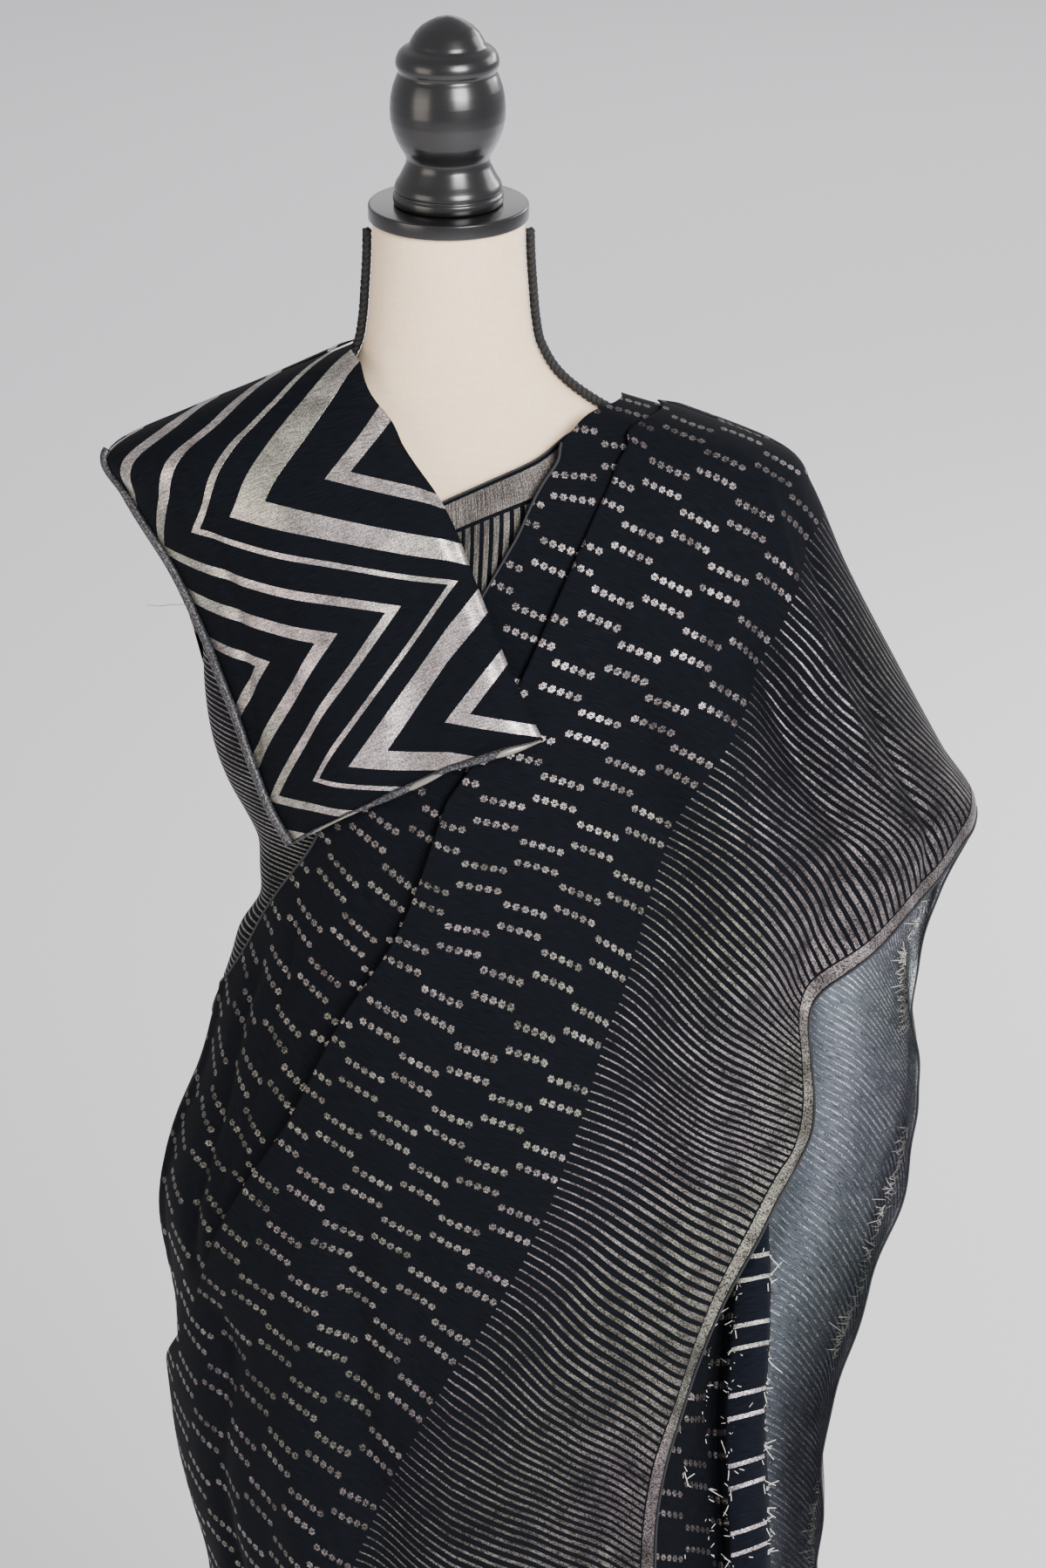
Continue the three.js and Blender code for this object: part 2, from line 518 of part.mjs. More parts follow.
const finish = (color, roughness) => new THREE.MeshStandardMaterial({ color, roughness });
const linen = finish(0xdccbb8, 0.9);
const blackWood = finish(0x0c0c0d, 0.3);
const cordBlack = finish(0x101012, 0.8);
const navySpotted = finish(0x111722, 0.7);
const navyStriped = finish(0x33333a, 0.6);
const navyZigzag = finish(0x2a2b2e, 0.6);

const saree = new THREE.Group();
function add(name, geometry, material) {
  const mesh = new THREE.Mesh(geometry, material);
  mesh.name = name;
  saree.add(mesh);
}
// Welds a lathe or extruded shape into one closed skin
function welded(geometry) {
  geometry.deleteAttribute("normal");
  geometry.deleteAttribute("uv");
  return mergeVertices(geometry, 1e-3);
}
const lathe = (profile, segments) =>
  welded(new THREE.LatheGeometry(profile.map(([r, h]) => new THREE.Vector2(r, h)), segments));

add("form_body", formBody(), linen);

const neckTop = new THREE.Group();
neckTop.position.set(0, NECK_TOP.y, NECK_TOP.z);
neckTop.rotation.x = Math.PI / 2 + NECK_TILT;
saree.add(neckTop);
function addOnNeck(name, profile, height) {
  const mesh = new THREE.Mesh(lathe(profile, 28), blackWood);
  mesh.name = name;
  mesh.position.y = height;
  neckTop.add(mesh);
}
const BEVEL = 0.8;
addOnNeck("neck_disc", [
  [0, 0], [DISC.radius - BEVEL, 0], [DISC.radius, BEVEL], [DISC.radius, DISC.thickness - BEVEL],
  [DISC.radius - BEVEL, DISC.thickness], [0, DISC.thickness],
], TOUCH);
addOnNeck("finial", FINIAL, 2 * TOUCH + DISC.thickness);

add("piping_right", piping(-1), cordBlack);
add("piping_left", piping(1), cordBlack);

// The round base with its sloped top, and the pole with a collar at its foot and a plate at its head
const upright = (profile, height) =>
  lathe(profile.map(([r, h]) => [r, h + height]), 40).rotateX(Math.PI / 2);
add("stand_base", upright([
  [0, 0], [BASE.radius - 1, 0], [BASE.radius, 1], [BASE.radius, 11], [BASE.radius - 7, 16],
  [48, BASE.thickness], [0, BASE.thickness],
], 0), blackWood);
const poleFoot = BASE.thickness + TOUCH;
const poleLength = BODY[0].z - TOUCH - poleFoot;
const PLATE = { radius: 38, thickness: 8, flare: 4 };
add("stand_pole", upright([
  [0, 0], [34, 0], [34, 14], [20, 26], [POLE_RADIUS, 40],
  [POLE_RADIUS, poleLength - PLATE.thickness - PLATE.flare],
  [PLATE.radius, poleLength - PLATE.thickness], [PLATE.radius, poleLength], [0, poleLength],
], poleFoot), blackWood);

add("chest_front", chestWrap(CHEST_FRONT_TOP, -32, 64, 16, 10), navyStriped);
add("chest_wrap", chestWrap(CHEST_SIDE_TOP, -295.4, -32.6, 28, 5), navyStriped);
const SKIRT_TOP = 1012;
const SKIRT_HEM = 30;
const skirtSurface = (u, v) => skirtPoint(360 * u, lerp(SKIRT_TOP, SKIRT_HEM, v));
add("skirt_wrap", clothWall(skirtSurface, 52, 6, { tube: true }), navySpotted);
add("skirt_pleats", clothWall(pleatPoint, 42, 5), navySpotted);
add("pallu_front", drapedStretch(PALLU, PALLU_COLUMNS, PALLU_FOLDS, 20, 34), navyStriped);
add("pallu_inner_pleat", drapedStretch(INNER_PLEAT, PLEAT_COLUMNS, PLEAT_FOLDS, 9, 22), navySpotted);
add("pallu_back", drapedStretch(PALLU_BACK, BACK_COLUMNS, BACK_FOLDS, 16, 20), navyStriped);
const zigzagFront = drapedStretch(SHOULDER_FRONT, SHOULDER_COLUMNS, SHOULDER_FOLDS, 12, 12);
add("shoulder_front", zigzagFront, navyZigzag);
add("shoulder_back", drapedStretch(SHOULDER_BACK, SHOULDER_COLUMNS, [], 10, 8), navyZigzag);
add("loose_fold", drapedStretch(LOOSE_FOLD, FOLD_COLUMNS, PALLU_FOLDS, 16, 14), navySpotted);

export default saree;
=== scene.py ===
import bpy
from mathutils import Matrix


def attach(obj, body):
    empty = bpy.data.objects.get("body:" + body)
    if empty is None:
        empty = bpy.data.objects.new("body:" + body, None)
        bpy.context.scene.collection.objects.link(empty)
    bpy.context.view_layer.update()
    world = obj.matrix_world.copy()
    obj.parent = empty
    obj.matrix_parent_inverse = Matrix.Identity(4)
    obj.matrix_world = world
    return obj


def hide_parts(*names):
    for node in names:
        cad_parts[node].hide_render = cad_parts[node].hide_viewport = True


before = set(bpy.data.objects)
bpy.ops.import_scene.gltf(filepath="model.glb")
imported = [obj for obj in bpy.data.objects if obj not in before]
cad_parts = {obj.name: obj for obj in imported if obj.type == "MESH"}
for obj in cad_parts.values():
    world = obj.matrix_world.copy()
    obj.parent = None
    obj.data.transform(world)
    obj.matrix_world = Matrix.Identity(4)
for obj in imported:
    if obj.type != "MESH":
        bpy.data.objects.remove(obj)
print("nodes in the frame:", len(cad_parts))

# %% [markdown]
# The frame. Every piece lies on the imported solids. Blender works in metres and the tables
# below in millimetres.
# %% Imports and units
import math
from functools import partial

import bpy
import numpy as np

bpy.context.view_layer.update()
MM = 0.001

# %% [markdown]
# Smooth tables. A drawn shape is easiest to keep in a short table of sections, with a cubic
# between its rows. Lofts, splines and lattices do the same work; a table can be read and
# corrected.
# %% Smooth tables
def smooth(keys, values, at):
    """Cubic through rows of values, with slopes from each row's neighbours, for whole arrays."""
    keys, values, at = (np.asarray(x, float) for x in (keys, values, at))
    x = np.clip(at, keys[0], keys[-1])
    i = np.clip(np.searchsorted(keys, x, side="right") - 1, 0, len(keys) - 2)
    row = np.arange(len(keys))
    before, after = np.maximum(row - 1, 0), np.minimum(row + 1, len(keys) - 1)
    run = keys[after] - keys[before]
    slopes = (values[after] - values[before]) / run.reshape(-1, *[1] * (values.ndim - 1))
    span = keys[i + 1] - keys[i]
    t = (x - keys[i]) / span
    t, span = (a.reshape(*a.shape, *[1] * (values.ndim - 1)) for a in (t, span))
    t2, t3 = t * t, t * t * t
    ends = (2 * t3 - 3 * t2 + 1) * values[i] + (3 * t2 - 2 * t3) * values[i + 1]
    return ends + span * ((t3 - 2 * t2 + t) * slopes[i] + (t3 - t2) * slopes[i + 1])


def read(table, at):
    """A table's columns after the first, at places along its first."""
    table = np.array(table, float)
    return smooth(table[:, 0], table[:, 1:], at)


def soft_step(x, start, end):
    """0 before start, 1 after end, and 3t2 - 2t3 between them."""
    t = np.clip((x - start) / (end - start), 0, 1)
    return t * t * (3 - 2 * t)


print("curve helpers ready")

# %% [markdown]
# The drape. Cloth that hangs free still follows one rounded outline, so its reach to the left,
# right, front and back is measured at each height, and each layer lies a few millimetres in or
# out from it.
# %% The outlines that cloth and linen follow
# each row is height, then reach to the left, right, front and back
DRAPE = [
    (30, 225, 290, 196, 184), (150, 212, 280, 182, 172), (300, 196, 270, 168, 160),
    (450, 181, 262, 158, 150), (560, 177, 258, 153, 146), (640, 193, 260, 151, 143),
    (700, 199, 269, 150, 142), (765, 200, 289, 150, 140), (840, 207, 310, 150, 136),
    (890, 196, 319, 149, 128), (940, 176, 319, 148, 118), (1000, 161, 319, 147, 110),
    (1050, 146, 336, 146, 106), (1117, 141, 353, 145, 105), (1157, 156, 330, 142, 105),
    (1218, 165, 297, 132, 106), (1283, 184, 263, 107, 104), (1340, 212, 238, 84, 97),
    (1364, 222, 221, 72, 84), (1390, 170, 158, 62, 67), (1405, 133, 110, 56, 60),
    (1414, 111, 90, 54, 57), (1436, 57, 62, 54, 58),
]
BODY = [
    (745, 148, 148, 88, 104), (800, 157, 157, 94, 113), (860, 156, 156, 92, 110),
    (930, 141, 141, 87, 96), (1000, 116, 116, 82, 80), (1050, 110, 110, 84, 78),
    (1100, 116, 116, 98, 82), (1130, 124, 124, 112, 85), (1170, 138, 138, 123, 90),
    (1230, 148, 148, 108, 94), (1290, 164, 164, 84, 94), (1325, 177, 177, 68, 86),
    (1345, 174, 174, 58, 77), (1362, 156, 156, 50, 68), (1378, 128, 128, 44, 61),
    (1392, 98, 98, 42, 56), (1412, 71, 71, 44, 53), (1434, 57, 57, 46, 51),
    (1452, 53, 53, 46.5, 50), (1474, 51, 51, 47, 49), (1497, 49.5, 49.5, 48, 48.5),
    (1520, 49, 49, 48, 48),
]
SKIRT = [
    (30, 192, 192, 164, 164), (200, 175, 175, 145, 149), (400, 158, 158, 124, 134),
    (600, 152, 152, 110, 128), (700, 159, 159, 106, 127), (800, 167, 167, 103, 125),
    (860, 165, 165, 101, 120), (930, 149, 149, 96, 106), (1012, 121.2, 121.2, 89.2, 87.2),
]


def ring_point(rings, angle, z):
    """x is the side reach times the sine, y the depth times minus the cosine, in millimetres."""
    reach = read(rings, z)
    sine, cosine = np.sin(np.radians(angle)), np.cos(np.radians(angle))
    side = np.where(sine < 0, reach[..., 0], reach[..., 1])
    deep = np.where(cosine > 0, reach[..., 2], reach[..., 3])
    return np.stack([side * sine, -deep * cosine, z + 0 * sine], -1)


def lifted(rings, angle, z, lift):
    """The ring point, moved out by lift along the surface's own normal."""
    across = ring_point(rings, angle + 0.2, z) - ring_point(rings, angle - 0.2, z)
    up = ring_point(rings, angle, z + 0.5) - ring_point(rings, angle, z - 0.5)
    normal = np.cross(across, up)
    normal /= np.linalg.norm(normal, axis=-1, keepdims=True)
    return ring_point(rings, angle, z) + normal * np.asarray(lift)[..., None]


print("outlines:", len(DRAPE), "drape,", len(BODY), "body and", len(SKIRT), "skirt rings")

# %% [markdown]
# Weaving silver into dark cloth. Spots, stripes and zigzags are drawn as maths on the cloth's own
# millimetres: one coordinate runs with the weft and the other with the warp, so the figures bend
# and foreshorten with every fold, as a painted picture laid over the drape would not.
# %% Node helpers
def linear(hex_colour):
    """sRGB hex to linear RGBA."""
    channels = [int(hex_colour[i : i + 2], 16) / 255 for i in (0, 2, 4)]
    return (*[c / 12.92 if c <= 0.04045 else ((c + 0.055) / 1.055) ** 2.4 for c in channels], 1.0)


def node(tree, kind, inputs=None, output=0, **settings):
    """Adds one node. Inputs may be sockets to link or plain values, by index or name."""
    made = tree.nodes.new(kind)
    for key, value in settings.items():
        setattr(made, key, value)
    pairs = inputs.items() if isinstance(inputs, dict) else enumerate(inputs or ())
    for key, value in pairs:
        if isinstance(value, bpy.types.NodeSocket):
            tree.links.new(value, made.inputs[key])
        else:
            made.inputs[key].default_value = value
    return made.outputs[output] if made.outputs else made


def new_material(name, bsdf_inputs):
    """A material with one Principled BSDF; bsdf_inputs(tree) gives its inputs."""
    material = bpy.data.materials.new(name)
    material.use_nodes = True
    tree = material.node_tree
    tree.nodes.clear()
    shader = node(tree, "ShaderNodeBsdfPrincipled", bsdf_inputs(tree))
    node(tree, "ShaderNodeOutputMaterial", {"Surface": shader})
    return material


def cloth_mm(tree):
    """The weft and warp coordinates in millimetres, from the UV map."""
    uv = node(tree, "ShaderNodeUVMap", uv_map="cloth")
    split = node(tree, "ShaderNodeSeparateXYZ", [uv]).node
    times = partial(node, tree, "ShaderNodeMath", operation="MULTIPLY")
    return [times([part, 1000.0]) for part in split.outputs[:2]]


print("node helpers ready")

# %% [markdown]
# The motifs. The spots are florets in groups of five, the border's stripes thicken toward its
# edge, and the folded end has broad zigzags. A picture could hold them, but a formula has no
# pixels to blur, and its sizes are the cloth's own.
# %% Motifs
SPOT = {
    "size": 5.2, "pitch": 6.2, "group": 32.7, "repeat": 46.5, "second": 15.3,
    "petals": 3, "eye": 0.5, "float": 3.0,
}
STRIPE = {"pitch": 6.1, "thin": 1.0, "thick": 3.7}
BORDER = {"width": 200.0, "band": 12.0, "gap": 1.5, "picot": 1.6}
# brightness of the yarn in each figure
GLOW = {"spot": 0.31, "stripe": 0.23, "band": 0.29, "zigzag": 0.56, "float": 0.8}
ZIGZAG = {"repeat": 181.0, "rise": 140.0}
# middle and width of each stripe
ZIGZAG_STRIPES = [(-142, 13), (-89, 16), (-42, 11), (0, 6.6), (41.5, 27), (105, 17), (160, 12)]


def spot_mask(tree, weft, warp, reverse=False):
    """Groups of five florets along the weft, in columns that step by half a repeat. Each floret has
    six petals round a dark eye. On the reverse each group is one loose float."""
    m = partial(node, tree, "ShaderNodeMath")
    column = m([m([weft, SPOT["group"]], operation="DIVIDE")], operation="FLOOR")
    middle = m([m([column, 0.5], operation="ADD"), SPOT["group"]], operation="MULTIPLY")
    inside = m([weft, middle], operation="SUBTRACT")
    half_group = 2.5 * SPOT["pitch"]
    shifted = m([inside, half_group], operation="ADD")
    turn = m([shifted, SPOT["pitch"]], operation="FLOORED_MODULO")
    dx = m([turn, SPOT["pitch"] / 2], operation="SUBTRACT")
    in_group = m([m([inside], operation="ABSOLUTE"), half_group], operation="LESS_THAN")
    odd = m([column, 2.0], operation="FLOORED_MODULO")
    half_drop = m([odd, SPOT["repeat"] / 2], operation="MULTIPLY")
    dropped = m([warp, half_drop], operation="ADD")
    row = m([dropped, SPOT["repeat"]], operation="FLOORED_MODULO")
    first = m([row, SPOT["repeat"] * 0.25], operation="SUBTRACT")
    second = m([first, SPOT["second"]], operation="SUBTRACT")
    gaps = [m([line], operation="ABSOLUTE") for line in (second, first)]
    near = m(gaps, operation="LESS_THAN")
    of_second = m([near, second], operation="MULTIPLY")
    of_first = m([m([1.0, near], operation="SUBTRACT"), first], operation="MULTIPLY")
    dy = m([of_second, of_first], operation="ADD")
    squares = [m([d, d], operation="MULTIPLY") for d in (dx, dy)]
    away = m([m(squares, operation="ADD")], operation="SQRT")
    around = m([dy, dx], operation="ARCTAN2")
    petals = m([m([around, float(SPOT["petals"])], operation="MULTIPLY")], operation="COSINE")
    lobes = m([m([petals], operation="ABSOLUTE")], operation="SQRT")
    reach = m([m([lobes, 0.4], operation="MULTIPLY"), 0.6], operation="ADD")
    edge = m([reach, SPOT["size"] / 2], operation="MULTIPLY")
    beyond_eye = m([away, SPOT["eye"]], operation="GREATER_THAN")
    floret = m([m([away, edge], operation="LESS_THAN"), beyond_eye], operation="MULTIPLY")
    dash = m([m([dy], operation="ABSOLUTE"), SPOT["float"] / 2], operation="LESS_THAN")
    return m([dash if reverse else floret, in_group], operation="MULTIPLY")


def border_mask(tree, weft, warp):
    """Mask and glow of stripes that thicken toward the selvedge, a dark gap and a solid band."""
    m = partial(node, tree, "ShaderNodeMath")
    width, inner = BORDER["width"], BORDER["width"] - BORDER["band"]
    share = m([weft, width], operation="DIVIDE")
    growth = m([share, STRIPE["thick"] - STRIPE["thin"]], operation="MULTIPLY")
    half = m([m([growth, STRIPE["thin"]], operation="ADD"), 0.5], operation="MULTIPLY")
    turn = m([warp, STRIPE["pitch"]], operation="FLOORED_MODULO")
    across = m([m([turn, STRIPE["pitch"] / 2], operation="SUBTRACT")], operation="ABSOLUTE")
    before_gap = m([weft, inner - BORDER["gap"]], operation="LESS_THAN")
    stripe = m([m([across, half], operation="LESS_THAN"), before_gap], operation="MULTIPLY")
    band = m([weft, inner], operation="GREATER_THAN")
    picot = m([weft, width - BORDER["picot"]], operation="LESS_THAN")
    rise = m([band, GLOW["band"] - GLOW["stripe"]], operation="MULTIPLY")
    glow = m([rise, GLOW["stripe"]], operation="ADD")
    return m([m([stripe, band], operation="MAXIMUM"), picot], operation="MULTIPLY"), glow


def spots_and_border(tree, reverse=False):
    """Spots where the weft coordinate is negative, the border where it is positive."""
    weft, warp = cloth_mm(tree)
    outer = node(tree, "ShaderNodeMath", [weft, 0.0], operation="GREATER_THAN")
    mask, glow = border_mask(tree, weft, warp)
    spots = spot_mask(tree, weft, warp, reverse)
    mask = node(tree, "ShaderNodeMix", {0: outer, 2: spots, 3: mask}, data_type="FLOAT")
    inner_glow = GLOW["float" if reverse else "spot"]
    return mask, node(tree, "ShaderNodeMix", {0: outer, 2: inner_glow, 3: glow}, data_type="FLOAT")


def floats_and_border(tree):
    """The same figures seen from behind."""
    return spots_and_border(tree, reverse=True)


def stripes_only(tree):
    """The border's stripes and band."""
    return border_mask(tree, *cloth_mm(tree))


def zigzag(tree):
    """Broad stripes across the weft, pushed to and fro along it by a triangle wave of the warp."""
    m = partial(node, tree, "ShaderNodeMath")
    weft, warp = cloth_mm(tree)
    wave = m([m([warp, ZIGZAG["repeat"] / 2], operation="DIVIDE"), 1.0], operation="PINGPONG")
    pushed = m([wave, ZIGZAG["rise"]], operation="MULTIPLY")
    place = m([weft, pushed], operation="SUBTRACT")
    mask = 0.0
    for middle, width in ZIGZAG_STRIPES:
        away = m([m([place, float(middle)], operation="SUBTRACT")], operation="ABSOLUTE")
        mask = m([mask, m([away, width / 2], operation="LESS_THAN")], operation="MAXIMUM")
    return mask, GLOW["zigzag"]


print("motifs: spots", SPOT, "stripes", STRIPE)

# %% [markdown]
# The cloth's finish. Flat metal-wrapped yarn glitters because each short float of it lies at its
# own tilt. A fine noise on brightness and bump stands for that, and the dark ground keeps a
# little sheen.
# %% Cloth materials
def woven(
    name, figure, ground="04060b", silver="cbc4b8", metal=0.75, tone_sheen=0.4, grain=0.95, gain=1.0,
    highlight_centre=None,
):
    """Dark ground with a silver figure; figure(tree) gives its mask and brightness.
    tone_sheen is how far the brightness drifts from patch to patch: partly the yarn's uneven tone,
    partly painted sheen and shade of the folds. grain is how far it drifts from float to float.
    highlight_centre is the middle of a painted highlight: the silver is brightest there and dulls
    away from it."""

    def inputs(tree):
        mask, glow = figure(tree)
        m = partial(node, tree, "ShaderNodeMath", operation="MULTIPLY")
        place = node(tree, "ShaderNodeTexCoord", output=3)
        uv = node(tree, "ShaderNodeUVMap", uv_map="cloth")
        drawn = node(tree, "ShaderNodeMapping", {"Vector": uv, "Scale": (90.0, 1500.0, 1.0)})
        noise = partial(node, tree, "ShaderNodeTexNoise")
        slub = noise({"Vector": drawn, "Scale": 1.0, "Detail": 2.0})
        glitter = noise({"Vector": place, "Scale": 1000.0, "Detail": 1.0})
        patch = noise({"Vector": place, "Scale": 55.0, "Detail": 2.0})
        drift = noise({"Vector": place, "Scale": 7.0, "Detail": 1.0})
        # painted iridescent sheen: slow random patches shift the silver between pink and green
        sheen_tint = node(tree, "ShaderNodeValToRGB", [drift])
        ramp = sheen_tint.node.color_ramp
        ramp.elements[0].position, ramp.elements[1].position = 0.42, 0.58
        ramp.elements[0].color = linear("c9b3c3")
        ramp.elements[1].color = linear("b9bba9")
        mix = partial(node, tree, "ShaderNodeMix", output=2, data_type="RGBA")
        spread = partial(node, tree, "ShaderNodeMapRange")
        yarn = mix({0: 0.45, 6: linear(silver), 7: sheen_tint})
        spark = spread([glitter, 0.36, 0.68, 1.15 - grain, 1.15 + grain])
        streak = spread([slub, 0.3, 0.7, 0.5, 1.4])
        # yarn's uneven tone and painted sheen and shade: brightness that drifts patch to patch
        patch_tone_and_sheen = spread([patch, 0.35, 0.65, 1 - tone_sheen, 1 + tone_sheen])
        spark = m([m([spark, streak]), m([patch_tone_and_sheen, m([glow, gain])])])
        # a painted highlight: the silver brightens near one fixed point and dims away from it
        if highlight_centre:
            away = node(tree, "ShaderNodeVectorMath", [place, highlight_centre], 1, operation="DISTANCE")
            spark = m([spark, spread([away, 0.06, 0.34, 1.15, 0.55])])
        yarn = node(tree, "ShaderNodeVectorMath", [yarn, spark], operation="MULTIPLY")
        lit = spread([slub, 0.35, 0.75, 0.6, 2.4])
        dark = node(tree, "ShaderNodeVectorMath", [linear(ground)[:3], lit], operation="MULTIPLY")
        height = m([mask, glitter, slub], operation="MULTIPLY_ADD")
        bump = node(tree, "ShaderNodeBump", {"Height": height, "Strength": 0.5, "Distance": 0.0003})
        return {
            "Base Color": mix({0: mask, 6: dark, 7: yarn}),
            "Metallic": m([mask, metal]),
            "Roughness": spread([mask, 0.0, 1.0, 0.85, 0.38]),
            "Normal": bump,
            "Sheen Weight": 0.01,
            "Sheen Roughness": 0.4,
            "Specular IOR Level": 0.1,
        }

    return new_material(name, inputs)


# fine navy-black cloth with supplementary silver weft, right side and reverse
# its silver carries a painted highlight on the front of the hip
SPOTTED = woven("navy cloth with silver weft", spots_and_border, highlight_centre=(0.13, -0.14, 0.98))
STRIPED = woven("navy cloth with silver stripes", stripes_only)
ZIGZAGGED = woven(
    "navy cloth with silver zigzag", zigzag, silver="d2ccc0", metal=0.85, tone_sheen=0.2, grain=0.5
)
NECKLINE = woven(
    "navy cloth with neckline stripes", stripes_only, silver="c0bea6", tone_sheen=0.2, grain=0.4,
    gain=0.42,
)
# painted backlight through the sheer cloth: a light grey ground, and silver at 2.6 times its glow
BACKLIT_REVERSE = woven("reverse of the border", floats_and_border, "596069", "d6dce2", 0.3, gain=2.6)
DARK_REVERSE = woven("reverse of the spotted cloth", floats_and_border, "070a12", "c4c2bc", 0.6)
WOVEN = (SPOTTED, STRIPED, ZIGZAGGED, NECKLINE, BACKLIT_REVERSE, DARK_REVERSE)
print("cloth materials", [material.name for material in WOVEN])

# %% [markdown]
# Cloth as nets. Each row of a net is one weft line across the stretch, given by a few points on
# the drape as angle, height and lift. Patch surfaces would need trimming; a net follows the
# weave.
# %% Nets of the draped stretches
SEAM = 0.45
PALLU = [  # along the warp; crease, spots, border join, mid border, selvedge
    (0, (90, 1397, 1), (90, 1376, 1), (90, 1325, 1), (90, 1208, 1), (90, 1117, 1)),
    (18, (52, 1391, 1), (58, 1364, 1), (72, 1314, 1), (78, 1211, 1), (84, 1114, 1)),
    (40, (38.6, 1380, 1), (47, 1342, 1), (63, 1295, 1), (67, 1207, 1), (79, 1108, 1)),
    (70, (27.6, 1360, 1), (39, 1310, 1), (54, 1268, 1), (58.6, 1200, 1), (75, 1098, 0)),
    (104, (17.8, 1305, 1), (31.7, 1274, 1), (45.5, 1238, 1), (51.3, 1190, 1), (70, 1081, 0)),
    (227, (2.7, 1189, 2), (14.2, 1170, 1), (25, 1139, 1), (35.2, 1091, 1), (50, 1012, 0)),
    (349, (-12, 1085, 3), (5.7, 1063, 1), (19.7, 1022, 1), (32.6, 964, 1), (49.1, 921, 0)),
    (429, (-26, 1016, 4), (-5, 986, 1), (15.5, 944, 1), (28.7, 902, 1), (41.8, 862, 0)),
    (573, (-42.5, 895, 4), (-16.3, 856, 1), (4.8, 810, 1), (16.5, 751, 1), (33.2, 700, 0)),
    (703, (-61, 780, 4), (-33, 738, 1), (-11.9, 686, 1), (9.8, 636, 1), (31, 583, 0)),
    (860, (-98, 679, 3), (-66, 615, 1), (-32, 545, 1), (-8, 494, 1), (15.2, 434, 0)),
    (1020, (-131, 561, 3), (-94, 486, 1), (-56, 405, 1), (-30, 362, 1), (-3.5, 322, 0)),
    (1190, (-165, 429, 3), (-128, 362, 1), (-90, 290, 1), (-63, 253, 1), (-36, 215, 0)),
    (1350, (-199, 309, 3), (-163, 255, 1), (-128, 195, 1), (-101, 158, 1), (-74, 118, 0)),
]
INNER_PLEAT = [  # edge, middle, under the crease
    (0, (90, 1404, -1.2), (90, 1398, -1.2), (90, 1391, -1.2)),
    (13, (50, 1401, -3), (54, 1393, -3), (60, 1384, -3)),
    (31, (28, 1388, -3.5), (38, 1384, -4.8), (49, 1375, -5)),
    (47, (20.5, 1373, -3), (31, 1370, -4.5), (42, 1362, -5)),
    (67, (15, 1357, -2), (25, 1352, -3), (35, 1345, -3)),
    (104, (10, 1325, -5), (17, 1312, -5), (24, 1299, -5)),
    (227, (-10.5, 1206, -5), (-2, 1194, -5), (7, 1182, -6)),
    (349, (-37, 1134, -4), (-23, 1106, -5), (-7, 1078, -6)),
    (429, (-62, 1066, -3), (-42, 1036, -4), (-20, 1009, -6)),
    (515, (-78, 1004, -3), (-57, 964, -3), (-36, 922, -6)),
    (600, (-97, 955, -3), (-72, 905, -3), (-43, 862, -6)),
    (720, (-122, 890, -4), (-92, 828, -4), (-62, 758, -6)),
    (870, (-172, 760, -4), (-142, 670, -4), (-112, 588, -6)),
    (1020, (-190, 640, -4), (-166, 560, -4), (-141, 480, -6)),
    (1190, (-199, 520, -4), (-182, 450, -4), (-166, 385, -6)),
]
PALLU_BACK = [  # inner edge, spots, border join, selvedge
    (0, (90 + SEAM, 1397, 1), (90 + SEAM, 1376, 1), (90 + SEAM, 1325, 1), (90 + SEAM, 1117, 1)),
    (18, (128, 1378, 2), (120, 1354, 2), (106, 1310, 2), (93, 1106, 2)),
    (45, (142, 1354, 3), (128, 1330, 3), (112, 1288, 3), (96, 1090, 2)),
    (110, (158, 1300, 6), (138, 1274, 6), (120, 1232, 5), (99, 1045, 2)),
    (250, (172, 1180, 8), (149, 1150, 8), (126, 1102, 6), (95, 945, 2)),
    (400, (178, 1030, 8), (154, 995, 8), (128, 948, 6), (90, 860, 2)),
    (560, (184, 860, 8), (158, 825, 8), (129, 780, 6), (83, 713, 2)),
    (720, (186, 690, 8), (160, 655, 8), (130, 612, 6), (84, 572, 2)),
    (880, (188, 520, 8), (162, 487, 8), (131, 448, 6), (84, 425, 2)),
    (1000, (190, 395, 8), (163, 362, 8), (132, 326, 6), (85, 308, 2)),
]
SHOULDER_FRONT = [  # outer edge, quarter, middle, folded inner edge
    (0, (-90, 1365, 2), (-90, 1390, 2), (-90, 1412, 2), (-85, 1434, 2.8)),
    (14, (-87, 1353, 2), (-66, 1379, 3), (-55, 1403, 3), (-46, 1428, 4)),
    (34, (-83, 1336, 3), (-55, 1366, 4), (-37, 1388, 4), (-19, 1405, 4)),
    (62, (-78, 1311, 3), (-48, 1339, 4), (-27, 1363, 4), (-9, 1383, 5)),
    (110, (-71, 1268, 3), (-40, 1296, 4), (-20, 1322, 5), (-0.6, 1346, 5)),
    (170, (-61, 1220, 4), (-34, 1246, 5), (-14, 1272, 6), (4.3, 1298, 7)),
    (230, (-51, 1171, 5), (-30, 1198, 6), (-10, 1224, 7), (8, 1250, 9)),
    (285, (-42, 1130, 8), (-25, 1154, 8), (-7, 1178, 9), (11.5, 1206, 11)),
]
REAR_CREST = -90 - 2 * SEAM
SHOULDER_BACK = [
    (0, (REAR_CREST, 1365, 2), (REAR_CREST, 1390, 2), (REAR_CREST, 1412, 2), (-96, 1434, 3)),
    (16, (-93, 1352, 3), (-112, 1370, 2), (-122, 1394, 2), (-132, 1416, 3)),
    (50, (-97, 1318, 4), (-128, 1340, 4), (-146, 1364, 4), (-160, 1386, 4)),
    (110, (-97, 1262, 4), (-134, 1290, 4), (-154, 1310, 4), (-172, 1335, 4)),
    (170, (-98, 1214, 5), (-132, 1216, 5), (-150, 1222, 5), (-168, 1236, 5)),
]
